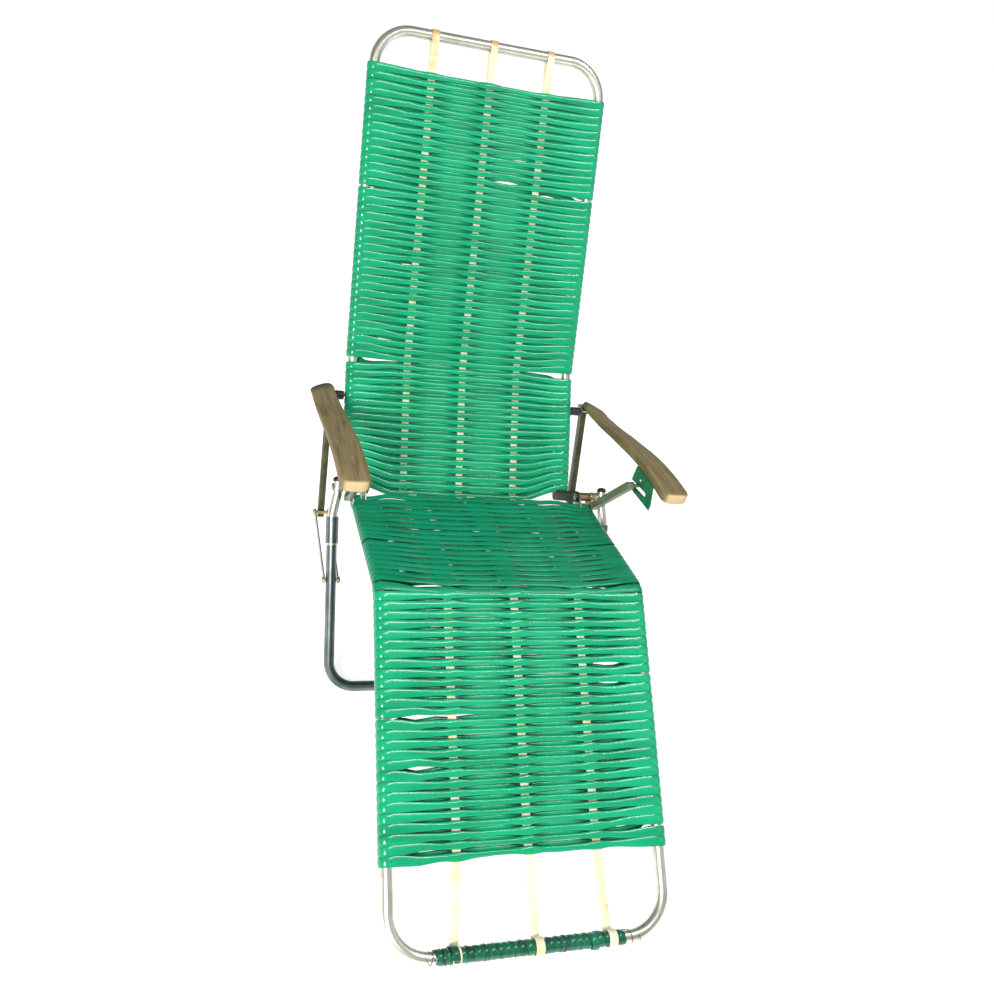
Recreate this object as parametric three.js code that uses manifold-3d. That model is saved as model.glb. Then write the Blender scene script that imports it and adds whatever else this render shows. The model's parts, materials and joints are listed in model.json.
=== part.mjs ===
// A folding reclining lounge chair: bent aluminium tubes wound with flat vinyl cord,
// wooden armrests, a back that reclines on notched brackets and legs that fold under the seat.
// Sizes are millimetres and degrees. X runs across the chair, Y to its back, Z up.
// The side view is drawn from the hip bolt, and the whole chair is set on its footprint at the end.
import * as THREE from "three";
import { mergeVertices } from "three/addons/utils/BufferGeometryUtils.js";
import Module from "manifold-3d";

const wasm = await Module();
wasm.setup();

// Frame tubes
const FRAME_WIDTH = 530;
const TUBE_D = 22;
const TUBE_WALL = 1.5;
const CORNER_RADIUS = 75;

// Seat and footrest, seen from the side
const SEAT_SETBACK = 10;
const SEAT_DROP = 22.5;
const SEAT_ANGLE = 11.2;
const SEAT_RUN = 321;
const KNEE_RADIUS = 45;
const KNEE_BAR_D = 16;
const FOOT_ANGLE = 33.5;
const FOOT_RUN = 626;

// Back, seen from the side
const BACK_SETBACK = 95;
const BACK_DROP = 91;
const BACK_LOWER_ANGLE = 48.75;
const BACK_LOWER_RUN = 295.5;
const BACK_BEND_RADIUS = 60;
const BACK_UPPER_ANGLE = 62.3;
const BACK_UPPER_RUN = 688;
const ARM_PIVOT_RUN = 212;

// Legs
const GROUND_DROP = 352.5;
const GROUND_FLAT = 0.5;
const FRONT_LEG_ANGLE = 54.4;
const FRONT_LEG_TOP_OUT = 50;
const FRONT_LEG_FOOT_OUT = 41;
const FRONT_LEG_BEND = 55;
const UPPER_TUBE_D = 20;
const UPPER_TUBE_OUT = 42.8;
const UPPER_TUBE_END = 12;
const CAP_LINE_SHARES = [[0, 0], [1, 0], [1, 0.5], [0.7, 0.85], [0, 1]];
const SLEEVE_FROM = 62;
const SLEEVE_TO = 120;
const SLEEVE_WALL = 1.4;
const LEG_PIN_RUN = 194;
const REAR_LEG_D = 18;
const REAR_LEG_IN = 29.5;
const REAR_LEG_FOOT_IN = 89;
const REAR_LEG_FOOT_Y = 235;
const REAR_LEG_BEND = 50;
const REAR_PIVOT_Y = -30;
const REAR_PIVOT_Z = -50;
const REAR_LEG_END = 12;

// Stays and braces
const STRUT_WIDTH = 13;
const STRUT_DEPTH = 18;
const STRUT_END = 15;
const ELBOW_Y = 110;
const ELBOW_Z = -167;
const BRACE_HEIGHT = 16;
const BAR_THICK = 3;
const BRACE_SWEEP = 60;

// Armrests
const ARM_BEHIND = 31;
const ARM_REAR_RISE = 16.5;
const ARM_LENGTH = 515;
const ARM_RISE = 121;
const ARM_REAR_THICK = 16;
const ARM_FRONT_THICK = 22;
const ARM_REAR_WIDTH = 60;
const ARM_FRONT_WIDTH = 56;
const ARM_REAR_OUT = 71;
const ARM_FRONT_OUT = 59;
const ARM_CORNER = 16;
// The wood's side view is a smooth line through shares of its length and rise
const ARM_LINE_SHARES = [[0, 0], [0.18, 0.13], [0.475, 0.54], [0.74, 0.855], [1, 1]];
const ARM_STATIONS = 12;

// Brackets under the armrests
const REAR_TAB_HALF = 18;
const BRACKET_NOSE = 34.3;
const BRACKET_NOSE_DEPTH = 11.8;
const BRACKET_BEHIND = 24;
const BRACKET_DROP = 22;
const BRACKET_FLANGE = 32;
const BRACKET_TOP_AHEAD = 18.8;
const BRACKET_BOLT_BACK = -9;
const BRACKET_BOLT_RISE = 22;

// Arm link and its peg
const LINK_EYE_Y = -18;
const LINK_EYE_Z = -12;
const LINK_WIDTH = 14;
const LINK_DEPTH = 16;
const PEG_FROM_FRONT = 121.2;
const PEG_DROP = 38.1;
const PEG_REACH = 5;
const RECLINE_ANGLE = 28;
const FOLD_OUT_ANGLE = 16;
const ARM_FOLLOW = 0.44;

// Sheet, bolts and clearances
const PLATE_THICK = 3;
const LUG_THICK = 5;
const BRACKET_GAP = 6;
const SHEET = 2.5;
const CHANNEL_WALL = 2;
const HIP_BOLT_D = 8;
const PIVOT_BOLT_D = 5.2;
const LEG_PIN_D = 7;
const PIN_HEAD_D = 13;
const HIP_SPACER_CLEAR = 2;
const HEX_SIDES = 6;
const RIVET_D = 7;
const HEAD_THICK = 3.5;
const FIT = 0.3;
const SIDE_PLAY = 1;

// Wound cord and straps
const CORD_WIDTH = 11;
const CORD_THICK = 3.5;
const STRAP_WIDTH = 19;
const STRAP_THICK = 1.6;
const STRAP_PITCH = 130;
const SEAT_FIRST_ROW = 46;
const KNEE_ROW_GAP = 22;
const FOOT_LAST_ROW = 472;
const SEAT_LOOPS = 18;
const FOOT_LOOPS = 24;
const BACK_LOOPS = 16;
const BACK_LOOP_PITCH = 16.8;
const LOOPS_BELOW_PIVOT = 10.5;
const UPPER_LOOPS = 24;
const UPPER_FIRST_ROW = 24;
const UPPER_LAST_ROW = 620;
const WRAP_LOOPS = 20;
const WRAP_SETBACK = 11;
const WRAP_WIDTH = 8;
const WRAP_THICK = 2.5;

// Roundness of the solids
const TUBE_SIDES = 10;
const BORE_SIDES = 8;
const BEND_STEP = 22.5;
const LOOP_STEP = 45;
const WELD_DISTANCE = 0.001;

// Finishes
const metal = (color, roughness) => new THREE.MeshStandardMaterial({ color, roughness, metalness: 1 });
const dull = (color, roughness) => new THREE.MeshStandardMaterial({ color, roughness, metalness: 0 });
const FINISH = {
  tube: () => metal(0xaeb6bd, 0.32),
  steel: () => metal(0x9a958c, 0.4),
  brass: () => metal(0xc9a659, 0.35),
  wood: () => dull(0x9c8360, 0.8),
  cord: () => dull(0x0c8f5c, 0.3),
  strap: () => dull(0xd9c79a, 0.85),
  green: () => dull(0x11603a, 0.4),
  olive: () => dull(0x343a22, 0.5),
  black: () => dull(0x14181a, 0.5),
};

// The side view's plane stood up: its x runs along Y, its y along Z, and its depth along X
const SIDE_VIEW = new THREE.Matrix4().makeBasis(
  new THREE.Vector3(0, 1, 0),
  new THREE.Vector3(0, 0, 1),
  new THREE.Vector3(1, 0, 0),
);
const SIDES = { left: -1, right: 1 };

const radians = THREE.MathUtils.degToRad;
const at = (y, z) => new THREE.Vector2(y, z);
const along = (length, degrees) => at(length, 0).rotateAround(at(0, 0), radians(degrees));
const inSpace = (x, point) => new THREE.Vector3(x, point.x, point.y);

// Radius of a regular polygon whose flats stay clear of a round of the given radius
const aroundRadius = (radius, sides) => radius / Math.cos(Math.PI / sides);

function circle(radius, sides, centre = at(0, 0)) {
  const points = [];
  for (let i = 0; i < sides; i++) {
    const turn = (2 * Math.PI * i) / sides;
    points.push(at(centre.x + radius * Math.cos(turn), centre.y + radius * Math.sin(turn)));
  }
  return points;
}

const hole = (diameter, centre) =>
  new THREE.Path(circle(aroundRadius(diameter / 2 + FIT, TUBE_SIDES), TUBE_SIDES, centre));

// A route of straight runs joined by bends; its stations are the run ends and points along each bend
class Route extends THREE.Curve {
  constructor(corners, radii) {
    super();
    this.stations = [];
    this.headings = [];
    const last = corners.length - 1;
    this.note(corners[0], corners[1].clone().sub(corners[0]).normalize());
    for (let i = 1; i < last; i++) this.bend(corners[i - 1], corners[i], corners[i + 1], radii[i - 1]);
    this.note(corners[last], corners[last].clone().sub(corners[last - 1]).normalize());
    this.steps = this.stations.length - 1;
  }
  note(point, heading) {
    this.stations.push(point.clone());
    this.headings.push(heading.clone());
  }
  bend(before, corner, after, radius) {
    const into = corner.clone().sub(before).normalize();
    const out = after.clone().sub(corner).normalize();
    const turn = into.angleTo(out);
    const inward = out.clone().addScaledVector(into, -into.dot(out)).normalize();
    const start = corner.clone().addScaledVector(into, -radius * Math.tan(turn / 2));
    const centre = start.clone().addScaledVector(inward, radius);
    const steps = 2 * Math.ceil(turn / 2 / radians(BEND_STEP));
    for (let i = 0; i <= steps; i++) {
      const angle = (turn * i) / steps;
      const spoke = inward.clone().multiplyScalar(-Math.cos(angle)).addScaledVector(into, Math.sin(angle));
      const heading = into.clone().multiplyScalar(Math.cos(angle)).addScaledVector(inward, Math.sin(angle));
      this.note(centre.clone().addScaledVector(spoke, radius), heading);
    }
  }
  getPointAt(u, target = new THREE.Vector3()) {
    return target.copy(this.stations[Math.round(u * this.steps)]);
  }
  getTangentAt(u, target = new THREE.Vector3()) {
    return target.copy(this.headings[Math.round(u * this.steps)]);
  }
}

function tube(route, diameter, wall) {
  const section = new THREE.Shape(circle(diameter / 2, TUBE_SIDES));
  section.holes.push(new THREE.Path(circle(diameter / 2 - wall, BORE_SIDES)));
  return new THREE.ExtrudeGeometry(section, { steps: route.steps, extrudePath: route });
}

// A U of tube: out along one side of the side view, across, and back along the other side
function uRoute(points, halfWidths, radii) {
  const right = points.map((point, i) => inSpace(halfWidths[i], point));
  const left = points.map((point, i) => inSpace(-halfWidths[i], point)).reverse();
  return new Route([...right, ...left], [...radii, ...[...radii].reverse()]);
}

// Booleans
function toSolid(geometry) {
  const bare = geometry.clone();
  bare.deleteAttribute("normal");
  bare.deleteAttribute("uv");
  const merged = mergeVertices(bare, WELD_DISTANCE);
  return new wasm.Manifold(
    new wasm.Mesh({
      numProp: 3,
      vertProperties: new Float32Array(merged.attributes.position.array),
      triVerts: new Uint32Array(merged.index.array),
    }),
  );
}

function toGeometry(solid) {
  const mesh = solid.getMesh();
  const geometry = new THREE.BufferGeometry();
  geometry.setAttribute("position", new THREE.BufferAttribute(mesh.vertProperties, 3));
  geometry.setIndex(new THREE.BufferAttribute(mesh.triVerts, 1));
  geometry.computeVertexNormals();
  return geometry;
}

const join = (...pieces) => toGeometry(pieces.map(toSolid).reduce((a, b) => a.add(b)));
const cut = (base, ...tools) => toGeometry(tools.map(toSolid).reduce((a, b) => a.subtract(b), toSolid(base)));
const overlap = (a, b) => toGeometry(toSolid(a).intersect(toSolid(b)));

// Shapes seen from the side

// Angle of the tangent that runs from one disc to the next, on the outside of an anticlockwise band
function tangentAngle(from, to) {
  const gap = Math.hypot(to.y - from.y, to.z - from.z);
  const heading = Math.atan2(to.z - from.z, to.y - from.y);
  return heading - Math.PI / 2 + Math.asin((from.r - to.r) / gap);
}

// Outline stretched round discs that are given anticlockwise
function bandOutline(discs) {
  const points = [];
  discs.forEach((disc, i) => {
    const start = tangentAngle(discs[(i + discs.length - 1) % discs.length], disc);
    let end = tangentAngle(disc, discs[(i + 1) % discs.length]);
    while (end < start) end += 2 * Math.PI;
    const steps = Math.max(1, Math.ceil((end - start) / (2 * Math.PI / TUBE_SIDES)));
    for (let k = 0; k <= steps; k++) {
      const angle = start + ((end - start) * k) / steps;
      points.push(at(disc.y + disc.r * Math.cos(angle), disc.z + disc.r * Math.sin(angle)));
    }
  });
  return points;
}

const disc = (point, r) => ({ y: point.x, z: point.y, r });

// A side-view outline as a slab between two distances from the middle of the chair, on one side
function slab(side, outline, nearX, farX, holes = []) {
  const shape = new THREE.Shape(outline);
  shape.holes.push(...holes);
  const geometry = new THREE.ExtrudeGeometry(shape, { depth: farX - nearX, bevelEnabled: false });
  geometry.applyMatrix4(SIDE_VIEW);
  return geometry.translate(side > 0 ? nearX : -farX, 0, 0);
}

const rod = (side, centre, diameter, nearX, farX) =>
  slab(side, circle(diameter / 2, TUBE_SIDES, centre), nearX, farX);
const drill = (side, centre, diameter, nearX, farX) =>
  rod(side, centre, 2 * aroundRadius(diameter / 2 + FIT, TUBE_SIDES), nearX, farX);

// A turned piece on an axis across the chair: profile of [radius, distance from its inner end]
function turned(name, material, side, centre, nearX, profile) {
  const points = profile.map(([radius, x]) => at(radius, x));
  const mesh = new THREE.Mesh(new THREE.LatheGeometry(points, TUBE_SIDES), material);
  mesh.name = name;
  mesh.rotation.z = (-side * Math.PI) / 2;
  mesh.position.set(side * nearX, centre.x, centre.y);
  return mesh;
}

// A bolt with a head inboard and a nut or a formed head outboard
function bolt(name, material, side, centre, diameter, headDiameter, nearX, farX) {
  const length = farX - nearX;
  return turned(name, material, side, centre, nearX, [
    [0, 0],
    [headDiameter / 2, 0],
    [headDiameter / 2, HEAD_THICK],
    [diameter / 2, HEAD_THICK],
    [diameter / 2, length - HEAD_THICK],
    [headDiameter / 2, length - HEAD_THICK],
    [headDiameter / 2, length - HEAD_THICK / 2],
    [diameter / 2, length],
    [0, length],
  ]);
}

function collar(name, material, side, centre, innerDiameter, outerDiameter, nearX, farX) {
  const bore = aroundRadius(innerDiameter / 2 + FIT, TUBE_SIDES);
  return turned(name, material, side, centre, nearX, [
    [bore, 0],
    [outerDiameter / 2, 0],
    [outerDiameter / 2, farX - nearX],
    [bore, farX - nearX],
    [bore, 0],
  ]);
}

function part(name, geometry, material) {
  const mesh = new THREE.Mesh(geometry, material);
  mesh.name = name;
  return mesh;
}

// Places in the side view, from the hip bolt
const tubeRadius = TUBE_D / 2;
const tubeX = FRAME_WIDTH / 2 - tubeRadius;
const hip = at(0, 0);
const seatHeading = 180 - SEAT_ANGLE;
const footHeading = 180 + FOOT_ANGLE;
const seatEnd = at(-SEAT_SETBACK, -SEAT_DROP);
const knee = seatEnd.clone().add(along(SEAT_RUN, seatHeading));
const toe = knee.clone().add(along(FOOT_RUN, footHeading));
const backEnd = at(BACK_SETBACK, -BACK_DROP);
const backBend = backEnd.clone().add(along(BACK_LOWER_RUN, BACK_LOWER_ANGLE));
const backTop = backBend.clone().add(along(BACK_UPPER_RUN, BACK_UPPER_ANGLE));
const armPivot = backEnd.clone().add(along(ARM_PIVOT_RUN, BACK_LOWER_ANGLE));
const seatRivet = seatEnd.clone().add(along(TUBE_D, seatHeading));
const seatHeel = seatEnd.clone().add(along(SEAT_SETBACK / 2, -SEAT_ANGLE));
const rearPivot = at(REAR_PIVOT_Y, REAR_PIVOT_Z);
const elbow = at(ELBOW_Y, ELBOW_Z);
const linkEye = at(LINK_EYE_Y, LINK_EYE_Z);
const frontLegHeading = 180 + FRONT_LEG_ANGLE;
const frontLegRun = (GROUND_DROP + GROUND_FLAT - tubeRadius) / Math.sin(radians(FRONT_LEG_ANGLE));
const sleeveMiddle = (SLEEVE_FROM + SLEEVE_TO) / 2;
const legPin = along(LEG_PIN_RUN, frontLegHeading);
const legFoot = along(frontLegRun, frontLegHeading);
const rearFoot = at(REAR_LEG_FOOT_Y, -GROUND_DROP - GROUND_FLAT + REAR_LEG_D / 2);

// The line of the armrests, and the peg that stands a set drop below the wood
const armStations = (() => {
  const rear = armPivot.clone().add(at(ARM_BEHIND, ARM_REAR_RISE));
  const line = new THREE.SplineCurve(
    ARM_LINE_SHARES.map(([run, rise]) => at(rear.x - ARM_LENGTH * run, rear.y + ARM_RISE * rise)),
  );
  const stations = [];
  for (let i = 0; i <= ARM_STATIONS; i++) {
    const share = i / ARM_STATIONS;
    const centre = line.getPoint(share);
    const half = THREE.MathUtils.lerp(ARM_REAR_THICK, ARM_FRONT_THICK, share) / 2;
    stations.push({ y: centre.x, top: centre.y + half, under: centre.y - half });
  }
  return stations;
})();

function armUnder(y) {
  for (let i = 0; i < ARM_STATIONS; i++) {
    const a = armStations[i];
    const b = armStations[i + 1];
    if (y <= a.y && y >= b.y) return THREE.MathUtils.mapLinear(y, a.y, b.y, a.under, b.under);
  }
  throw new Error("no armrest above this place");
}

const pegY = armPivot.x + ARM_BEHIND - ARM_LENGTH + PEG_FROM_FRONT;
const peg = at(pegY, armUnder(pegY) - PEG_DROP);

// Where the peg stands against the armrest once the back has turned by some degrees
function pegInArm(degrees) {
  const turnedPivot = armPivot.clone().rotateAround(hip, radians(degrees));
  const offset = peg.clone().sub(turnedPivot).rotateAround(hip, -radians(degrees * (1 - ARM_FOLLOW)));
  return offset.add(armPivot);
}
const slotPath = [-RECLINE_ANGLE, -RECLINE_ANGLE / 2, 0, FOLD_OUT_ANGLE / 2, FOLD_OUT_ANGLE].map(pegInArm);

// Places across the chair, from its middle outwards
const innerPlateFar = tubeX - tubeRadius - FIT;
const innerPlateNear = innerPlateFar - PLATE_THICK;
const outerPlateNear = tubeX + tubeRadius + FIT;
const outerPlateFar = outerPlateNear + PLATE_THICK;
const lugFar = innerPlateNear - FIT;
const lugNear = lugFar - LUG_THICK;
const upperTubeX = tubeX + UPPER_TUBE_OUT;
const upperTubeNear = upperTubeX - UPPER_TUBE_D / 2;
const linkNear = outerPlateFar + FIT;
const legTopX = tubeX + FRONT_LEG_TOP_OUT;
const legFootX = tubeX + FRONT_LEG_FOOT_OUT;
const legX = (run) => THREE.MathUtils.mapLinear(run, sleeveMiddle, frontLegRun, legTopX, legFootX);
const pinX = legX(LEG_PIN_RUN);
const strutNear = pinX - STRUT_WIDTH / 2;
const strutFar = pinX + STRUT_WIDTH / 2;
const braceGap = tubeRadius + FIT + legX(LEG_PIN_RUN - BRACE_SWEEP) - pinX;
const innerTabFar = strutNear - SIDE_PLAY;
const innerTabNear = innerTabFar - SHEET;
const outerTabNear = strutFar + SIDE_PLAY;
const outerTabFar = outerTabNear + SHEET;
const cordReach = aroundRadius(tubeRadius + FIT + CORD_THICK / 2, 360 / LOOP_STEP);
const bracketNear = linkNear + LINK_WIDTH + BRACKET_GAP;
const bracketFar = bracketNear + SHEET;
const rearLegX = tubeX - REAR_LEG_IN;
const rearLegFootX = tubeX - REAR_LEG_FOOT_IN;
const armRearX = tubeX + ARM_REAR_OUT;
const armFrontX = tubeX + ARM_FRONT_OUT;
const wrapHalf = tubeX - CORNER_RADIUS - WRAP_SETBACK;

// The corners of a flat cord's section, as sides of its thickness and of its width
const RIBBON_CORNERS = [[1, 1], [1, -1], [-1, -1], [-1, 1]];

function ringsToGeometry(rings) {
  const sides = rings[0].length;
  const positions = rings.flat().flatMap((p) => [p.x, p.y, p.z]);
  const faces = [];
  for (let i = 0; i + 1 < rings.length; i++)
    for (let k = 0; k < sides; k++) {
      const a = i * sides + k;
      const b = i * sides + ((k + 1) % sides);
      faces.push(a, b, a + sides, b, b + sides, a + sides);
    }
  const end = (rings.length - 1) * sides;
  for (let k = 1; k + 1 < sides; k++) faces.push(0, k + 1, k, end, end + k, end + k + 1);
  const geometry = new THREE.BufferGeometry();
  geometry.setAttribute("position", new THREE.Float32BufferAttribute(positions, 3));
  geometry.setIndex(faces);
  geometry.computeVertexNormals();
  return geometry;
}

// The smallest distance between the points of one loop and those of the next
function leastGap(name, rings, ringsPerLoop) {
  const loops = [];
  for (let i = 0; i < rings.length; i += ringsPerLoop) loops.push(rings.slice(i, i + ringsPerLoop).flat());
  let least = Infinity;
  for (let i = 0; i + 1 < loops.length; i++)
    for (const p of loops[i]) for (const q of loops[i + 1]) least = Math.min(least, p.distanceTo(q));
  console.log(`${name}: least gap between loops ${least.toFixed(2)} mm`);
}

// Winding on a pair of side tubes: over the right tube, back beneath, round the left tube and on
function winding(name, start, heading, firstRun, lastRun, loops) {
  const forward = along(1, heading);
  const normal = at(-forward.y, forward.x);
  if (normal.y < 0) normal.negate();
  const flip = forward.x * normal.y - forward.y * normal.x > 0 ? 1 : -1;
  const pitch = (lastRun - firstRun) / (loops - 1);
  const rings = [];
  const addRing = (run, side, degrees) => {
    const outX = Math.cos(radians(degrees));
    const outN = Math.sin(radians(degrees));
    const centre = start.clone().addScaledVector(forward, run);
    const ring = [];
    for (const [thick, wide] of RIBBON_CORNERS) {
      const reach = cordReach + (thick * CORD_THICK) / 2;
      const point = centre
        .clone()
        .addScaledVector(normal, outN * reach)
        .addScaledVector(forward, (flip * wide * CORD_WIDTH) / 2);
      ring.push(inSpace(side * tubeX + outX * reach, point));
    }
    rings.push(ring);
  };
  for (let i = 0; i < loops; i++) {
    const run = firstRun + i * pitch;
    for (let a = 270; a >= 90; a -= LOOP_STEP) addRing(run, -1, a);
    for (let a = 90; a >= -90; a -= LOOP_STEP) addRing(run, 1, a);
  }
  leastGap(name, rings, rings.length / loops);
  return part(name, ringsToGeometry(rings), FINISH.cord());
}

// Cord wrapped round the end bar of the footrest
const wrapReach = aroundRadius(tubeRadius + FIT + WRAP_THICK / 2, 360 / LOOP_STEP);
function barWrap(name) {
  const rings = [];
  const perLoop = 360 / LOOP_STEP;
  const steps = WRAP_LOOPS * perLoop;
  for (let i = 0; i <= steps; i++) {
    const x = THREE.MathUtils.mapLinear(i, 0, steps, -wrapHalf, wrapHalf);
    const ring = [];
    for (const [thick, wide] of RIBBON_CORNERS) {
      const point = along(wrapReach + (thick * WRAP_THICK) / 2, i * LOOP_STEP).add(toe);
      ring.push(inSpace(x + (wide * WRAP_WIDTH) / 2, point));
    }
    rings.push(ring);
  }
  leastGap(name, rings, perLoop);
  return part(name, ringsToGeometry(rings), FINISH.cord());
}

// A strap that follows the middle of the tubes and closes in a loop round the end bar
function strap(name, x, corners, radii, bar, loopRadius) {
  const last = corners[corners.length - 1];
  const run = bar.clone().sub(last);
  const stop = last.clone().addScaledVector(run, 1 - (loopRadius + STRAP_THICK / 2) / run.length());
  const route = new Route([...corners, stop].map((point) => inSpace(0, point)), radii);
  const edge = (offset) =>
    route.stations.map((point, i) => {
      const heading = route.headings[i];
      return at(point.y - heading.z * offset, point.z + heading.y * offset);
    });
  const outline = [...edge(-STRAP_THICK / 2), ...edge(STRAP_THICK / 2).reverse()];
  const ring = circle(loopRadius + STRAP_THICK, TUBE_SIDES, bar);
  const bore = new THREE.Path(circle(loopRadius, TUBE_SIDES, bar));
  const geometry = join(slab(1, outline, 0, STRAP_WIDTH), slab(1, ring, 0, STRAP_WIDTH, [bore]));
  return part(name, geometry.translate(x - STRAP_WIDTH / 2, 0, 0), FINISH.strap());
}

const STRAP_PLACES = { left: -STRAP_PITCH, centre: 0, right: STRAP_PITCH };

// Seat and footrest
const seat = new THREE.Group();

function seatTube() {
  const route = uRoute([seatEnd, knee, toe], [tubeX, tubeX, tubeX], [KNEE_RADIUS, CORNER_RADIUS]);
  const holes = Object.values(SIDES).map((side) =>
    drill(side, seatRivet, RIVET_D, innerPlateNear, outerPlateFar),
  );
  return cut(tube(route, TUBE_D, TUBE_WALL), ...holes);
}

function hipPlates(side, word) {
  const upper = disc(hip, tubeRadius - SIDE_PLAY);
  const front = disc(seatRivet, tubeRadius);
  const heel = disc(seatHeel, tubeRadius - SIDE_PLAY);
  const lower = disc(rearPivot, tubeRadius - PLATE_THICK);
  const inner = join(
    slab(side, bandOutline([upper, front, lower, heel]), innerPlateNear, innerPlateFar, [
      hole(HIP_BOLT_D, hip),
      hole(HIP_BOLT_D, rearPivot),
    ]),
    rod(side, seatRivet, RIVET_D, innerPlateNear + PLATE_THICK / 2, outerPlateFar - PLATE_THICK / 2),
  );
  const outer = slab(side, bandOutline([upper, front, heel]), outerPlateNear, outerPlateFar, [
    hole(HIP_BOLT_D, hip),
    hole(RIVET_D, seatRivet),
    hole(PIVOT_BOLT_D, linkEye),
  ]);
  seat.add(part(`hip_plate_inner_${word}`, inner, FINISH.steel()));
  seat.add(part(`hip_plate_outer_${word}`, outer, FINISH.steel()));
}

// Inboard face of the slanted rear leg beside its pivot, as far down the leg as the given reach
function rearLegNear(reach) {
  const slant = (rearLegX - rearLegFootX) / rearFoot.distanceTo(rearPivot);
  return rearLegX - slant * (REAR_LEG_END + reach) - REAR_LEG_D / 2 - 2 * FIT;
}

const hipSpacerD = 2 * (SEAT_DROP - tubeRadius - HIP_SPACER_CLEAR);

function hipStack(side, word) {
  const hexagon = circle(aroundRadius(hipSpacerD / 2, HEX_SIDES) - FIT, HEX_SIDES);
  const boltHead = hipSpacerD - PLATE_THICK;
  seat.add(
    collar(`hip_spacer_${word}`, FINISH.brass(), side, hip, HIP_BOLT_D, hipSpacerD,
      innerPlateFar + FIT, outerPlateNear - FIT),
    part(`hip_hex_spacer_${word}`,
      slab(side, hexagon, linkNear, upperTubeNear - FIT, [hole(HIP_BOLT_D, hip)]), FINISH.brass()),
    bolt(`hip_bolt_${word}`, FINISH.steel(), side, hip, HIP_BOLT_D, boltHead,
      lugNear - FIT - HEAD_THICK, upperTubeX + UPPER_TUBE_D / 2 + FIT + HEAD_THICK),
    bolt(`rear_leg_bolt_${word}`, FINISH.steel(), side, rearPivot, HIP_BOLT_D, boltHead,
      rearLegNear(boltHead / 2) - HEAD_THICK, innerPlateFar + FIT + HEAD_THICK),
  );
}

function armLink(side, word) {
  const depth = LINK_DEPTH / 2;
  const far = linkNear + LINK_WIDTH;
  const body = slab(side, bandOutline([disc(linkEye, depth), disc(peg, depth)]), linkNear, far);
  const pocket = slab(
    side,
    bandOutline([disc(linkEye, depth - CHANNEL_WALL), disc(peg, depth - CHANNEL_WALL)]),
    linkNear + CHANNEL_WALL,
    far + SIDE_PLAY,
  );
  const channel = cut(body, pocket);
  const pin = rod(side, peg, HIP_BOLT_D, linkNear + CHANNEL_WALL / 2, bracketFar + PEG_REACH);
  const rivetNear = outerPlateNear + PLATE_THICK / 2;
  const rivet = rod(side, linkEye, PIVOT_BOLT_D, rivetNear, linkNear + CHANNEL_WALL / 2);
  seat.add(part(`arm_link_${word}`, join(channel, pin, rivet), FINISH.green()));
}

function kneeBar() {
  const turn = radians(SEAT_ANGLE + FOOT_ANGLE);
  const inward = along(1, footHeading).sub(along(1, seatHeading)).normalize();
  const drop = KNEE_RADIUS * (1 / Math.cos(turn / 2) - 1) + tubeRadius + FIT + KNEE_BAR_D / 2;
  const centre = knee.clone().addScaledVector(inward, drop);
  const reach = tubeX + tubeRadius;
  return tube(new Route([inSpace(-reach, centre), inSpace(reach, centre)], []), KNEE_BAR_D, TUBE_WALL);
}

seat.add(part("seat_frame_tube", seatTube(), FINISH.tube()));
for (const [word, side] of Object.entries(SIDES)) {
  hipPlates(side, word);
  hipStack(side, word);
  armLink(side, word);
}
seat.add(
  part("knee_cross_bar", kneeBar(), FINISH.tube()),
  winding("winding_seat", seatEnd, seatHeading, SEAT_FIRST_ROW, SEAT_RUN - KNEE_ROW_GAP, SEAT_LOOPS),
  winding("winding_footrest", knee, footHeading, KNEE_ROW_GAP, FOOT_LAST_ROW, FOOT_LOOPS),
  barWrap("end_bar_wrap"),
);
const strapStart = seatEnd.clone().add(along(SEAT_FIRST_ROW - CORD_WIDTH / 2, seatHeading));
const wrapLoop = aroundRadius(wrapReach + WRAP_THICK / 2 + FIT, TUBE_SIDES);
for (const [word, x] of Object.entries(STRAP_PLACES))
  seat.add(strap(`seat_strap_${word}`, x, [strapStart, knee], [KNEE_RADIUS], toe, wrapLoop));

// Back
const back = new THREE.Group();
const lugRun = tubeRadius;
const lugEye = backEnd.clone().add(along(lugRun, BACK_LOWER_ANGLE));
const lugRadius = tubeRadius + SIDE_PLAY;
const backFirstRow = ARM_PIVOT_RUN - BACK_LOOP_PITCH * LOOPS_BELOW_PIVOT;
const backLastRow = backFirstRow + BACK_LOOP_PITCH * (BACK_LOOPS - 1);

function backTube() {
  const radii = [BACK_BEND_RADIUS, CORNER_RADIUS];
  const route = uRoute([backEnd, backBend, backTop], [tubeX, tubeX, tubeX], radii);
  const holes = Object.values(SIDES).flatMap((side) => [
    drill(side, armPivot, PIVOT_BOLT_D, innerPlateNear, outerPlateFar),
    drill(side, lugEye, RIVET_D, innerPlateNear, outerPlateFar),
  ]);
  return cut(tube(route, TUBE_D, TUBE_WALL), ...holes);
}

function backLug(side, word) {
  const arm = slab(side, bandOutline([disc(hip, lugRadius), disc(lugEye, lugRadius)]), lugNear, lugFar, [
    hole(HIP_BOLT_D, hip),
  ]);
  const pad = rod(side, lugEye, TUBE_D, lugNear + LUG_THICK / 2, innerPlateFar);
  const rivet = rod(side, lugEye, RIVET_D, lugNear + LUG_THICK / 2, outerPlateNear + SIDE_PLAY);
  back.add(part(`back_lug_${word}`, join(arm, pad, rivet), FINISH.black()));
}

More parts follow.
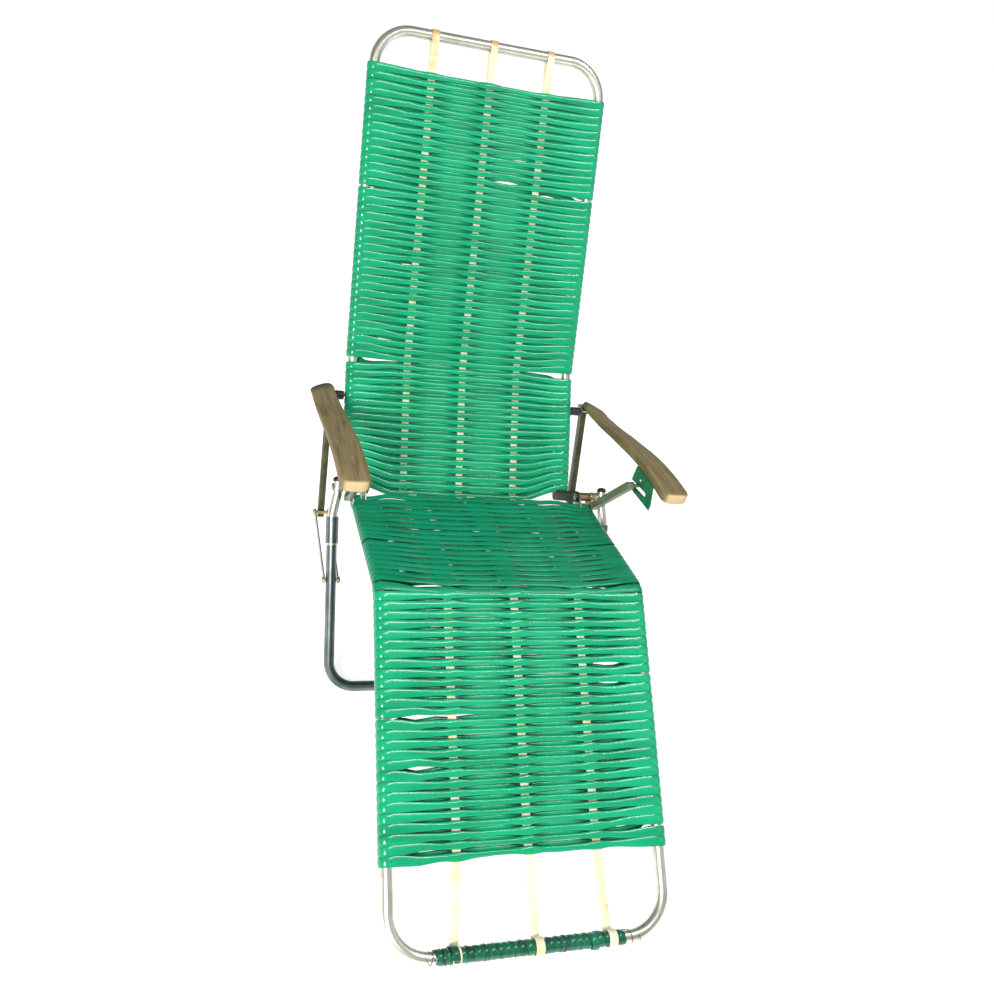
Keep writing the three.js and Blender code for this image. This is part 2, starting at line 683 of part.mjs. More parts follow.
function armPivotParts(side, word) {
  back.add(
    bolt(`arm_pivot_bolt_${word}`, FINISH.steel(), side, armPivot, PIVOT_BOLT_D, 2 * PIVOT_BOLT_D,
      innerPlateFar - HEAD_THICK, outerTabFar + FIT + HEAD_THICK),
    collar(`arm_pivot_spacer_${word}`, FINISH.black(), side, armPivot, PIVOT_BOLT_D, UPPER_TUBE_D,
      tubeX + cordReach + CORD_THICK / 2 + SIDE_PLAY, innerTabNear - FIT),
  );
}

back.add(part("back_frame_tube", backTube(), FINISH.tube()));
for (const [word, side] of Object.entries(SIDES)) {
  backLug(side, word);
  armPivotParts(side, word);
}
back.add(
  winding("winding_lower_back", backEnd, BACK_LOWER_ANGLE, backFirstRow, backLastRow, BACK_LOOPS),
  winding("winding_upper_back", backBend, BACK_UPPER_ANGLE, UPPER_FIRST_ROW, UPPER_LAST_ROW, UPPER_LOOPS),
);
const backStrapStart = backEnd.clone().add(along(backFirstRow - CORD_WIDTH / 2, BACK_LOWER_ANGLE));
const topLoop = aroundRadius(tubeRadius + FIT, TUBE_SIDES);
for (const [word, x] of Object.entries(STRAP_PLACES))
  back.add(strap(`back_strap_${word}`, x, [backStrapStart, backBend], [BACK_BEND_RADIUS], backTop, topLoop));

// Armrests
function armrest(side) {
  const top = armStations.map((s) => at(s.y, s.top));
  const under = armStations.map((s) => at(s.y, s.under)).reverse();
  const rearY = armStations[0].y;
  const frontY = armStations[ARM_STATIONS].y;
  const corner = (x, y) => ({ y: x, z: y, r: ARM_CORNER });
  const rearHalf = ARM_REAR_WIDTH / 2 - ARM_CORNER;
  const frontHalf = ARM_FRONT_WIDTH / 2 - ARM_CORNER;
  const plan = bandOutline([
    corner(armFrontX + frontHalf, frontY + ARM_CORNER),
    corner(armRearX + rearHalf, rearY - ARM_CORNER),
    corner(armRearX - rearHalf, rearY - ARM_CORNER),
    corner(armFrontX - frontHalf, frontY + ARM_CORNER),
  ]);
  const planShape = new THREE.Shape(side > 0 ? plan : plan.map((p) => at(-p.x, p.y)));
  const tall = new THREE.ExtrudeGeometry(planShape, { depth: GROUND_DROP, bevelEnabled: false });
  return overlap(slab(side, [...top, ...under], armFrontX - ARM_REAR_WIDTH, armRearX + ARM_REAR_WIDTH), tall);
}

// Strip of sheet metal that lies against the underside of the wood
function flange(side, frontY, rearY, nearX, farX) {
  const between = armStations.map((s) => s.y).filter((y) => y > frontY && y < rearY);
  const ys = [rearY, ...between, frontY];
  const upper = ys.map((y) => at(y, armUnder(y) - FIT));
  const lower = ys.map((y) => at(y, armUnder(y) - FIT - SHEET)).reverse();
  return slab(side, [...upper, ...lower], nearX, farX);
}

function rearBracket(side) {
  const tab = (offset) => {
    const y = armPivot.x + offset;
    return disc(at(y, armUnder(y) - FIT - SHEET), SHEET / 2);
  };
  const eye = disc(armPivot, PIVOT_BOLT_D + SHEET / 2);
  const outline = bandOutline([eye, tab(REAR_TAB_HALF), tab(-REAR_TAB_HALF)]);
  const holes = [hole(PIVOT_BOLT_D, armPivot)];
  return join(
    slab(side, outline, innerTabNear, innerTabFar, holes),
    slab(side, outline, outerTabNear, outerTabFar, holes),
    flange(side, armPivot.x - REAR_TAB_HALF, armPivot.x + REAR_TAB_HALF, innerTabNear, outerTabFar),
  );
}

const bracketBolt = peg.clone().add(at(BRACKET_BOLT_BACK, BRACKET_BOLT_RISE));

// Plate under the arm, with a slot for the peg that runs out at its rear edge
function notchedBracket(side) {
  const under = (y) => at(y, armUnder(y) - FIT - SHEET / 2);
  const front = slotPath[0];
  const plate = slab(
    side,
    [
      at(peg.x + BRACKET_BEHIND, peg.y - BRACKET_DROP),
      under(peg.x + BRACKET_BEHIND),
      under(front.x - BRACKET_TOP_AHEAD),
      at(front.x - BRACKET_NOSE, front.y),
      at(front.x - BRACKET_NOSE, front.y - BRACKET_NOSE_DEPTH),
    ],
    bracketNear,
    bracketFar,
  );
  const slotRadius = aroundRadius(HIP_BOLT_D / 2 + FIT, TUBE_SIDES);
  const slots = slotPath.slice(1).map((place, i) => {
    const outline = bandOutline([disc(slotPath[i], slotRadius), disc(place, slotRadius)]);
    return slab(side, outline, bracketNear - SIDE_PLAY, bracketFar + SIDE_PLAY);
  });
  return join(
    cut(
      plate,
      ...slots,
      drill(side, bracketBolt, PIVOT_BOLT_D, bracketNear - SIDE_PLAY, bracketFar + SIDE_PLAY),
    ),
    flange(side, front.x - BRACKET_TOP_AHEAD, peg.x + BRACKET_BEHIND, bracketNear,
      bracketNear + BRACKET_FLANGE),
  );
}

function arm(side, word) {
  const group = new THREE.Group();
  group.add(
    part(`armrest_${word}`, armrest(side), FINISH.wood()),
    part(`arm_rear_bracket_${word}`, rearBracket(side), FINISH.steel()),
    part(`arm_notched_bracket_${word}`, notchedBracket(side), FINISH.green()),
    bolt(`bracket_bolt_${word}`, FINISH.steel(), side, bracketBolt, PIVOT_BOLT_D, 2 * PIVOT_BOLT_D,
      bracketNear - FIT - HEAD_THICK, bracketFar + FIT + HEAD_THICK),
  );
  return group;
}

// Front leg
const frontLeg = new THREE.Group();
const legPoint = (run) => inSpace(legX(run), along(run, frontLegHeading));
const mirrored = (point) => point.clone().setX(-point.x);

function frontLegTube() {
  const top = legPoint(sleeveMiddle);
  const foot = inSpace(legFootX, legFoot);
  const route = new Route([top, foot, mirrored(foot), mirrored(top)], [FRONT_LEG_BEND, FRONT_LEG_BEND]);
  const pins = Object.values(SIDES).map((side) =>
    drill(side, legPin, LEG_PIN_D, pinX - 2 * tubeRadius, pinX + 2 * tubeRadius),
  );
  return cut(tube(route, TUBE_D, TUBE_WALL), groundBlock(), ...pins);
}

// Everything below the ground
function groundBlock() {
  const size = 2 * FRAME_WIDTH;
  return new THREE.BoxGeometry(size, size, size).translate(0, 0, -GROUND_DROP - size / 2);
}

function upperTube(side, word) {
  const back = along(-UPPER_TUBE_END, frontLegHeading);
  const kink = along(UPPER_TUBE_END, frontLegHeading);
  const into = along(SLEEVE_FROM - UPPER_TUBE_END / 2, frontLegHeading);
  const end = along(sleeveMiddle - 2 * SIDE_PLAY, frontLegHeading);
  const sleeveX = legX(SLEEVE_FROM);
  const corners = [inSpace(upperTubeX, back), inSpace(upperTubeX, kink), inSpace(sleeveX, into),
    inSpace(sleeveX, end)];
  const placed = side > 0 ? corners : corners.map(mirrored);
  const route = new Route(placed, [FRONT_LEG_BEND, FRONT_LEG_BEND]);
  const geometry = cut(
    tube(route, UPPER_TUBE_D, TUBE_WALL),
    drill(side, hip, HIP_BOLT_D, upperTubeNear - SIDE_PLAY, upperTubeNear + 2 * UPPER_TUBE_D),
  );
  frontLeg.add(part(`leg_upper_tube_${word}`, geometry, FINISH.tube()));
}

function sleeve(side, word) {
  const bore = 2 * aroundRadius(tubeRadius + FIT, TUBE_SIDES);
  const ends = [legPoint(SLEEVE_FROM), legPoint(SLEEVE_TO)];
  const route = new Route(side > 0 ? ends : ends.map(mirrored), []);
  const section = new THREE.Shape(circle(bore / 2 + SLEEVE_WALL, TUBE_SIDES));
  section.holes.push(new THREE.Path(circle(bore / 2, TUBE_SIDES)));
  const geometry = new THREE.ExtrudeGeometry(section, { steps: route.steps, extrudePath: route });
  frontLeg.add(part(`leg_sleeve_${word}`, geometry, FINISH.tube()));
}

function endCap(side, word) {
  const radius = UPPER_TUBE_D / 2;
  const profile = CAP_LINE_SHARES.map(([r, h]) => at(radius * r, radius * h));
  const cap = part(`leg_end_cap_${word}`, new THREE.LatheGeometry(profile, TUBE_SIDES), FINISH.black());
  const place = along(-UPPER_TUBE_END - FIT, frontLegHeading);
  cap.position.copy(inSpace(side * upperTubeX, place));
  cap.rotation.x = radians(FRONT_LEG_ANGLE);
  frontLeg.add(cap);
}

frontLeg.add(part("front_leg_tube", frontLegTube(), FINISH.tube()));
for (const [word, side] of Object.entries(SIDES)) {
  upperTube(side, word);
  sleeve(side, word);
  endCap(side, word);
  frontLeg.add(
    bolt(`leg_pin_${word}`, FINISH.brass(), side, legPin, LEG_PIN_D, PIN_HEAD_D,
      pinX - braceGap - BAR_THICK - FIT - HEAD_THICK, pinX + braceGap + BAR_THICK + FIT + HEAD_THICK),
  );
}

// Rear leg
const rearLeg = new THREE.Group();
function rearLegTube() {
  const heading = rearFoot.clone().sub(rearPivot).normalize();
  const top = rearPivot.clone().addScaledVector(heading, -REAR_LEG_END);
  const route = uRoute([top, rearFoot], [rearLegX, rearLegFootX], [REAR_LEG_BEND]);
  const holes = Object.values(SIDES).map((side) =>
    drill(side, rearPivot, HIP_BOLT_D, rearLegX - REAR_LEG_D, rearLegX + REAR_LEG_D),
  );
  return cut(tube(route, REAR_LEG_D, TUBE_WALL), groundBlock(), ...holes);
}
rearLeg.add(part("rear_leg_tube", rearLegTube(), FINISH.tube()));

// Stays: channel struts that hang from the arm pivots and rest against the elbow pins
const pinPlay = 2 * FIT;
function stay(side, word) {
  const depth = STRUT_DEPTH / 2;
  const offset = depth + pinPlay + LEG_PIN_D / 2;
  const toElbow = elbow.clone().sub(armPivot);
  const heading = toElbow.angle() + Math.asin(offset / toElbow.length());
  const reach = toElbow.length() + STRUT_END - depth;
  const end = armPivot.clone().add(at(reach * Math.cos(heading), reach * Math.sin(heading)));
  const body = slab(side, bandOutline([disc(armPivot, depth), disc(end, depth)]), strutNear, strutFar, [
    hole(PIVOT_BOLT_D, armPivot),
  ]);
  const pocket = slab(
    side,
    bandOutline([disc(armPivot, depth - CHANNEL_WALL), disc(end, depth - CHANNEL_WALL)]),
    strutNear + CHANNEL_WALL,
    strutFar + SIDE_PLAY,
  );
  const group = new THREE.Group();
  group.add(part(`stay_strut_${word}`, cut(body, pocket), FINISH.olive()));
  return group;
}

// Braces: a pair of flat bars from each leg pin to an elbow pin
function brace(side, word) {
  const outline = bandOutline([disc(legPin, BRACE_HEIGHT / 2), disc(elbow, BRACE_HEIGHT / 2)]);
  const holes = [hole(LEG_PIN_D, legPin), hole(LEG_PIN_D, elbow)];
  const inner = pinX - braceGap;
  const outer = pinX + braceGap;
  const group = new THREE.Group();
  group.add(
    part(`brace_bar_inner_${word}`, slab(side, outline, inner - BAR_THICK, inner, holes), FINISH.steel()),
    part(`brace_bar_outer_${word}`, slab(side, outline, outer, outer + BAR_THICK, holes), FINISH.steel()),
    bolt(`elbow_pin_${word}`, FINISH.brass(), side, elbow, LEG_PIN_D, PIN_HEAD_D,
      inner - BAR_THICK - FIT - HEAD_THICK, outer + BAR_THICK + FIT + HEAD_THICK),
  );
  return group;
}

// The whole chair, stood on the ground with its origin under the middle of its outline
const chair = new THREE.Group();
chair.add(seat, back, frontLeg, rearLeg);
for (const [word, side] of Object.entries(SIDES)) {
  chair.add(arm(side, word), stay(side, word), brace(side, word));
}

const outline = new THREE.Box3().setFromObject(chair, true);
const middle = outline.getCenter(new THREE.Vector3());
chair.position.set(-middle.x, -middle.y, -outline.min.z);

const pivots = { hip, armPivot, legPin, elbow, peg, rearPivot, legFoot, rearFoot };
for (const [name, point] of Object.entries(pivots)) {
  const place = inSpace(0, point).add(chair.position);
  console.log(name, place.x.toFixed(2), place.y.toFixed(2), place.z.toFixed(2));
}

const model = new THREE.Group();
model.add(chair);
export default model;
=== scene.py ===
# %% [markdown]
# # A reclining lounge chair wound with vinyl cord
# The metal frame, the hinges and the hardware come from the CAD frame and keep their places. This file
# dresses them: it winds the cord, weaves in the straps, shapes the wooden arms and gives every surface
# its finish. Lengths are metres in the frame's own axes: X across the chair, Y to its back, Z up.

import json
import math
import random

import bmesh
import bpy
from mathutils import Matrix, Vector

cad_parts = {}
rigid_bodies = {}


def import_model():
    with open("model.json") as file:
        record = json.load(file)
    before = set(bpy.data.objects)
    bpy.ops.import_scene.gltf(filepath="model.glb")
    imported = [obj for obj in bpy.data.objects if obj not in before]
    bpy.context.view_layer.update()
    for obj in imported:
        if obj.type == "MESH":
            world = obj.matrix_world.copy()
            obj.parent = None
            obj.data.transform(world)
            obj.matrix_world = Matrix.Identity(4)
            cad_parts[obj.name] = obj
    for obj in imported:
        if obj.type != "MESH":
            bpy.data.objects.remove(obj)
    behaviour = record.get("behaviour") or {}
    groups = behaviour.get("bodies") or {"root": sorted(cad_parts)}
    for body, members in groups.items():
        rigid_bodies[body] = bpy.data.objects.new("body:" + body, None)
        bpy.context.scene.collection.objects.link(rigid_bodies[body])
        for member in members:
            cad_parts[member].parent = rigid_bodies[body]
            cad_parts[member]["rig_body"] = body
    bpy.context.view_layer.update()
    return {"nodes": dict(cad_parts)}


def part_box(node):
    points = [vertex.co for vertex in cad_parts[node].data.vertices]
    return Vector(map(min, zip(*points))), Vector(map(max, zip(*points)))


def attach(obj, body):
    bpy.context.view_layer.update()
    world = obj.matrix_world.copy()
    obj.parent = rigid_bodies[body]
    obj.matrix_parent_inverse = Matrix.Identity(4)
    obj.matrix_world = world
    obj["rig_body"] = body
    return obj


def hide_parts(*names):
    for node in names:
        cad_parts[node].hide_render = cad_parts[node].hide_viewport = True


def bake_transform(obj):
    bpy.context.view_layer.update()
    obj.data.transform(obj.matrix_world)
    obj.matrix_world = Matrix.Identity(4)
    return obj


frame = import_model()

# %% [markdown]
# ## Where things are
# The side view of the chair is a handful of straight runs joined by bends. Their angles are the chair's
# design, and one anchor, the hip bolt, is read from the frame, so the dress lands on the metal whatever
# the frame's origin is. A side point is a vector with no X; the pieces add their own place across.

# %% The anchor and the main sizes
MM = 0.001


def middle(node):
    low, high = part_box(node)
    return (low + high) / 2


def side(y, z):
    return Vector((0, y, z))


def heading(degrees):
    return side(math.cos(math.radians(degrees)), math.sin(math.radians(degrees)))


def across(x, point):
    return Vector((x, point.y, point.z))


def between(first, last, share):
    return first + (last - first) * share


hip = across(0, middle("hip_bolt_left"))
arm_pivot = across(0, middle("arm_pivot_bolt_left"))
tube_radius = 11 * MM
tube_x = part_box("seat_frame_tube")[1].x - tube_radius
print("hip", hip, "side tubes at", round(tube_x, 4))

# %% Corners of the seat and the back
# Each straight run's heading in degrees and its length in millimetres
seat_heading, seat_run = 180 - 11.2, 321
foot_heading, foot_run = 180 + 33.5, 626
lower_heading, lower_run = 48.75, 295.5
upper_heading, upper_run = 62.3, 688
seat_end = hip + side(-10, -22.5) * MM
knee = seat_end + heading(seat_heading) * seat_run * MM
toe = knee + heading(foot_heading) * foot_run * MM
back_end = hip + side(95, -91) * MM
back_bend = back_end + heading(lower_heading) * lower_run * MM
back_top = back_bend + heading(upper_heading) * upper_run * MM
knee_radius, bend_radius, corner_radius = 45 * MM, 60 * MM, 75 * MM
print("knee", knee, "toe", toe, "top", back_top)

# %% [markdown]
# ## Finishes
# Each finish is one small node tree: a broad noise that varies the colour and the roughness, a fine one
# for flecks or fibres, and a bump for the smallest relief. The same few nodes serve metal, vinyl, wood
# and cloth, so a helper lays them out and each finish only says its colours and scales.

# %% A helper for node trees
BLACK, WHITE = (0, 0, 0), (1, 1, 1)
# Numbers of the sockets that a Mix node uses in its colour mode
MIX_FACTOR, MIX_FIRST, MIX_SECOND, MIX_RESULT = 0, 6, 7, 2


class Finish:
    """A material with a Principled shader and short calls that add the nodes before it."""

    def __init__(self, name, metallic=0.0, roughness=0.5):
        self.material = bpy.data.materials.new(name)
        self.material.use_nodes = True
        self.nodes = self.material.node_tree.nodes
        self.links = self.material.node_tree.links
        self.shade({"Metallic": metallic, "Roughness": roughness})
        self.place = self.node("TexCoord", {}).outputs

    def fill(self, node, values):
        """Link a node's inputs to sockets, or set them to colours and numbers."""
        for key, value in values.items():
            if isinstance(value, bpy.types.NodeSocket):
                self.links.new(value, node.inputs[key])
            elif node.inputs[key].type == "RGBA":
                node.inputs[key].default_value = (*value, 1)
            else:
                node.inputs[key].default_value = value
        return node

    def node(self, kind, values):
        return self.fill(self.nodes.new("ShaderNode" + kind), values)

    def shade(self, values):
        self.fill(self.nodes["Principled BSDF"], values)

    def axes(self, source):
        """The X, Y and Z of a kind of texture coordinates."""
        return self.node("SeparateXYZ", {0: self.place[source]}).outputs

    def mapped(self, scale=(1, 1, 1), source="Object"):
        return self.node("Mapping", {"Scale": scale, "Vector": self.place[source]}).outputs["Vector"]

    def noise(self, vector, scale, detail=4.0, distortion=0.0):
        values = {"Vector": vector, "Scale": scale, "Detail": detail, "Distortion": distortion}
        return self.node("TexNoise", values).outputs["Fac"]

    def ramp(self, factor, stops):
        node = self.node("ValToRGB", {"Fac": factor})
        elements = node.color_ramp.elements
        while len(elements) < len(stops):
            elements.new(1)
        for element, (position, colour) in zip(elements, stops):
            element.position = position
            element.color = (*colour, 1)
        return node.outputs["Color"]

    def mix(self, factor, first, second, blend="MIX"):
        node = self.node("Mix", {})
        node.data_type, node.blend_type = "RGBA", blend
        self.fill(node, {MIX_FACTOR: factor, MIX_FIRST: first, MIX_SECOND: second})
        return node.outputs[MIX_RESULT]

    def spread(self, factor, low, high):
        """A factor of 0 to 1, spread from low to high."""
        return self.node("MapRange", {"Value": factor, "To Min": low, "To Max": high}).outputs["Result"]

    def within(self, value, start, end):
        """0 before the start and 1 after the end."""
        values = {"Value": value, "From Min": start, "From Max": end}
        return self.node("MapRange", values).outputs["Result"]

    def maths(self, operation, first, second):
        node = self.node("Math", {0: first, 1: second})
        node.operation = operation
        return node.outputs[0]

    def stored(self, name):
        """The value of an attribute kept on the mesh's vertices."""
        node = self.node("Attribute", {})
        node.attribute_name = name
        return node.outputs["Fac"]

    def colour(self, socket):
        self.shade({"Base Color": socket})

    def rough(self, factor, low, high):
        self.shade({"Roughness": self.spread(factor, low, high)})

    def bump(self, height, depth, strength):
        node = self.node("Bump", {"Height": height, "Distance": depth, "Strength": strength})
        self.shade({"Normal": node.outputs["Normal"]})


# %% [markdown]
# The frame is bare aluminium that has stood outdoors. Its oxide is a dull film with dark flecks, so two
# noises are laid over each other: broad clouds and fine specks.


# %% Bare metals
def worn_metal(name, bright, dull, fleck, low, high):
    """Colours where it is bright, dull and flecked, and the lowest and highest roughness."""
    finish = Finish(name, metallic=1.0)
    place = finish.mapped()
    clouds = finish.noise(place, 22.0, detail=6)
    specks = finish.noise(place, 900.0, detail=3)
    body = finish.ramp(clouds, [(0.35, bright), (0.7, dull)])
    spots = finish.ramp(specks, [(0.6, BLACK), (0.72, WHITE)])
    finish.colour(finish.mix(spots, body, fleck))
    finish.rough(clouds, low, high)
    finish.bump(specks, 0.00006, 0.5)
    return finish.material


aluminium = worn_metal(
    "aluminium_oxidised", (0.76, 0.75, 0.67), (0.48, 0.47, 0.38), (0.30, 0.26, 0.17), 0.26, 0.46
)
leg_metal = worn_metal(
    "leg_tube_weathered", (0.21, 0.25, 0.26), (0.10, 0.125, 0.12), (0.07, 0.07, 0.045), 0.28, 0.46
)
steel = worn_metal("zinc_steel", (0.55, 0.53, 0.47), (0.34, 0.31, 0.25), (0.20, 0.10, 0.04), 0.28, 0.5)
brass = worn_metal(
    "brass_tarnished", (0.72, 0.50, 0.26), (0.45, 0.27, 0.13), (0.14, 0.08, 0.04), 0.22, 0.4
)
pale_brass = worn_metal(
    "hex_spacer_yellow", (0.86, 0.80, 0.52), (0.70, 0.60, 0.34), (0.35, 0.26, 0.12), 0.25, 0.42
)


# %% Painted metals
def enamel(name, paint, faded, chip, low, high):
    """Colours where it is sound, faded and chipped, and the lowest and highest roughness."""
    finish = Finish(name)
    place = finish.mapped()
    clouds = finish.noise(place, 35.0, detail=5)
    chips = finish.noise(place, 260.0, detail=4, distortion=0.6)
    body = finish.ramp(clouds, [(0.35, paint), (0.72, faded)])
    spots = finish.ramp(chips, [(0.67, BLACK), (0.7, WHITE)])
    finish.colour(finish.mix(spots, body, chip))
    finish.rough(clouds, low, high)
    finish.bump(chips, 0.00012, 0.6)
    return finish.material


green_enamel = enamel(
    "green_enamel", (0.006, 0.13, 0.055), (0.012, 0.20, 0.09), (0.16, 0.15, 0.10), 0.22, 0.4
)
link_enamel = enamel("link_enamel", (0.10, 0.14, 0.07), (0.20, 0.24, 0.15), (0.5, 0.5, 0.42), 0.25, 0.45)
olive_enamel = enamel(
    "olive_enamel", (0.035, 0.042, 0.012), (0.075, 0.08, 0.03), (0.22, 0.19, 0.12), 0.25, 0.45
)
black_enamel = enamel(
    "black_enamel", (0.004, 0.006, 0.005), (0.011, 0.016, 0.012), (0.08, 0.075, 0.05), 0.45, 0.75
)
black_plastic = enamel(
    "plastic_black_dusty", (0.010, 0.010, 0.010), (0.022, 0.022, 0.021), (0.04, 0.04, 0.038), 0.35, 0.6
)
print("finishes so far:", [m.name for m in bpy.data.materials if m.users == 0])

# %% [markdown]
# The cord is hollow vinyl tube, flattened by its own tension. It is glossy and keeps a thin clear skin,
# with long faint streaks from the extruder. Its edges, where strands meet, and the strands beneath,
# where they lie in shade, are darkened as painted shade. Streaks and edges follow the cord, so they read
# its own
# UV map: the first number goes round the cord, the second is the distance along it. The seat's vinyl is
# a worn, duller one whose darker colours are partly painted shade, and the end bar's a dark one.

# %% Vinyl cord
CORD_SIDES = 12
# Round the cord, as a share of the whole way: the crest of a face, and from there to the edge
CORD_CREST = 2.5 / CORD_SIDES
CREST_TO_EDGE = 0.25
# Painted shade on the cord: how far past the crest it starts and is full along both edges, where strands
# meet, and how dark it gets there; then the colour it darkens to, which on the end bar's wrap also gives
# some turns a random darker tone; then real dust
EDGE_PAINTED_SHADE = (0.15, 0.24)
EDGE_PAINTED_SHADE_MOST = 0.8
PAINTED_SHADE_AND_TONE_COLOUR = (0.0006, 0.035, 0.018)
DUST = (0.05, 0.30, 0.17)


def vinyl(name, deep, main, sunlit, roughness, coat=0.6):
    """Green vinyl, with painted shade along the cord's edges and where a vertex attribute darkens it."""
    finish = Finish(name, roughness=roughness)
    streaks = finish.noise(finish.mapped((9, 2.5, 1), "UV"), 1.0, detail=3)
    clouds = finish.noise(finish.mapped((0.2, 1, 1)), 38.0, detail=3)
    grime = finish.noise(finish.mapped(), 210.0, detail=5)
    body = finish.ramp(clouds, [(0.3, deep), (0.5, main), (0.75, sunlit)])
    tinted = finish.mix(finish.spread(streaks, 0.0, 0.4), body, deep)
    dusty = finish.ramp(grime, [(0.7, BLACK), (0.9, (0.5, 0.5, 0.5))])
    dusted = finish.mix(dusty, tinted, DUST)
    # Painted shade: darker towards both edges of the cord, where strands meet, and wherever the vertex
    # attribute says, which is on shaded strands beneath and on random turns of the end bar's wrap
    past_crest = finish.maths("SUBTRACT", finish.axes("UV")["X"], CORD_CREST)
    off_crest = finish.maths("PINGPONG", past_crest, CREST_TO_EDGE)
    edge = finish.maths("MULTIPLY", finish.within(off_crest, *EDGE_PAINTED_SHADE), EDGE_PAINTED_SHADE_MOST)
    painted_shade_and_tone_mask = finish.maths("MAXIMUM", edge, finish.stored("painted_shade_and_tone"))
    finish.colour(finish.mix(painted_shade_and_tone_mask, dusted, PAINTED_SHADE_AND_TONE_COLOUR))
    finish.rough(grime, roughness * 0.85, roughness * 1.3)
    finish.bump(streaks, 0.0001, 0.3)
    finish.shade({"Specular IOR Level": 0.2, "Coat Weight": coat, "Coat Roughness": 0.13})
    return finish.material


cord_vinyl = vinyl(
    "cord_vinyl_green", (0.001, 0.27, 0.115), (0.002, 0.37, 0.165), (0.005, 0.43, 0.205), 0.22
)
# The seat's cord is worn and duller, and its colours are darker than the other cord's as painted shade,
# since the seat faces up and the light comes from the front
seat_vinyl = vinyl(
    "cord_vinyl_worn_and_shaded", (0.001, 0.20, 0.09), (0.002, 0.27, 0.13), (0.004, 0.32, 0.16), 0.32, coat=0.25
)
wrap_vinyl = vinyl(
    "wrap_vinyl_green", (0.002, 0.10, 0.05), (0.004, 0.17, 0.09), (0.012, 0.24, 0.125), 0.3
)

# %% [markdown]
# The straps are woven plastic tape, cream with rust-coloured stains, and browned all over where they
# bend over the top bar. A tape's weave is a ripple across and a ripple along, so two wave textures on
# its UV map make the threads.

# %% Woven tape
# A wave texture of scale 1 repeats at this distance
WAVE_TURN = math.tau / 20
THREAD = 1.5 * MM
# The way round a tape, which the first number of its UV map divides
TAPE_ROUND = 34 * MM


def woven_tape(name):
    finish = Finish(name, roughness=0.7)
    place = finish.mapped(source="UV")
    threads = []
    for direction, period in (("X", THREAD / TAPE_ROUND), ("Y", THREAD)):
        values = {"Vector": place, "Scale": WAVE_TURN / period, "Distortion": 0.4}
        wave = finish.node("TexWave", values)
        wave.bands_direction = direction
        threads.append(wave.outputs["Fac"])
    weave = finish.mix(0.5, threads[0], threads[1])
    stains = finish.noise(finish.mapped(), 30.0, detail=5, distortion=0.4)
    body = finish.ramp(
        stains, [(0.46, (0.88, 0.86, 0.62)), (0.60, (0.84, 0.74, 0.42)), (0.74, (0.72, 0.44, 0.18))]
    )
    over_bar = finish.within(finish.axes("Object")["Z"], back_top.z + 3 * MM, back_top.z + 11 * MM)
    stained = finish.mix(finish.maths("MULTIPLY", over_bar, 0.85), body, (0.60, 0.30, 0.10))
    finish.colour(finish.mix(0.16, stained, weave, "MULTIPLY"))
    finish.bump(weave, 0.00025, 0.6)
    finish.shade({"Sheen Weight": 0.15})
    return finish.material


tape = woven_tape("strap_woven_tape")

# %% [markdown]
# The arms are sun-bleached wood. Grain is noise stretched a long way down the arm. The sawn front end
# is paler than the rest, and the rear end, where the board rolls away from the light, is darkened as
# painted shade, so the place along Y lightens the last few millimetres in front and darkens some
# centimetres behind.

# %% Weathered wood


def weathered_wood(name, front_y, rear_y):
    finish = Finish(name, roughness=0.8)
    grain = finish.noise(finish.mapped((150, 9, 24)), 1.0, detail=6, distortion=0.5)
    fibres = finish.noise(finish.mapped((800, 26, 60)), 1.0, detail=4)
    cracks = finish.noise(finish.mapped((240, 8, 16)), 1.0, detail=2, distortion=0.2)
    clouds = finish.noise(finish.mapped(), 16.0, detail=5)
    body = finish.ramp(
        grain, [(0.3, (0.085, 0.058, 0.020)), (0.48, (0.23, 0.165, 0.062)), (0.7, (0.37, 0.285, 0.118))]
    )
    greyed = finish.mix(finish.spread(clouds, 0.0, 0.5), body, (0.30, 0.245, 0.115))
    lined = finish.mix(finish.spread(fibres, 0.0, 0.6), greyed, (0.15, 0.115, 0.055))
    split_lines = finish.ramp(cracks, [(0.64, BLACK), (0.7, (0.7, 0.7, 0.7))])
    cracked = finish.mix(split_lines, lined, (0.05, 0.036, 0.018))
    along = finish.axes("Object")["Y"]
    sawn = finish.within(along, front_y + 9 * MM, front_y + 3 * MM)
    # Painted shade: the board darkens over some centimetres at its rear end, where it rolls away from
    # the light; the colour named stained below carries this painted shade
    rear_painted_shade = finish.within(along, rear_y - 62 * MM, rear_y - 30 * MM)
    stained = finish.mix(rear_painted_shade, cracked, (0.05, 0.055, 0.026))
    finish.colour(finish.mix(sawn, stained, (0.62, 0.47, 0.25)))
    finish.rough(clouds, 0.6, 0.85)
    finish.bump(finish.mix(0.5, fibres, cracks), 0.0009, 0.8)
    return finish.material


arm_low, arm_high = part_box("armrest_left")
arm_wood = weathered_wood("arm_wood_weathered", arm_low.y, arm_high.y)

# %% [markdown]
# ## Helpers that make the shapes
# Four ways of making a mesh serve all but the wooden arms. A tube is a curve with a round bevel. A cord
# or a strap is a flat grid rolled up along a route, because its section has to keep facing the same
# way. A fastener is a profile spun round its own axis. Flat hardware is the CAD solid itself, with its
# edges eased, because a sheet-metal edge in the light is what tells steel from card.

# %% Finish a mesh and set it on its body
SMOOTH_ANGLE = math.radians(40)
WELD = 1e-6


def body_of(node):
    return frame["nodes"][node]["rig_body"]


def in_scene(name, data):
    thing = bpy.data.objects.new(name, data)
    bpy.context.scene.collection.objects.link(thing)
    return thing


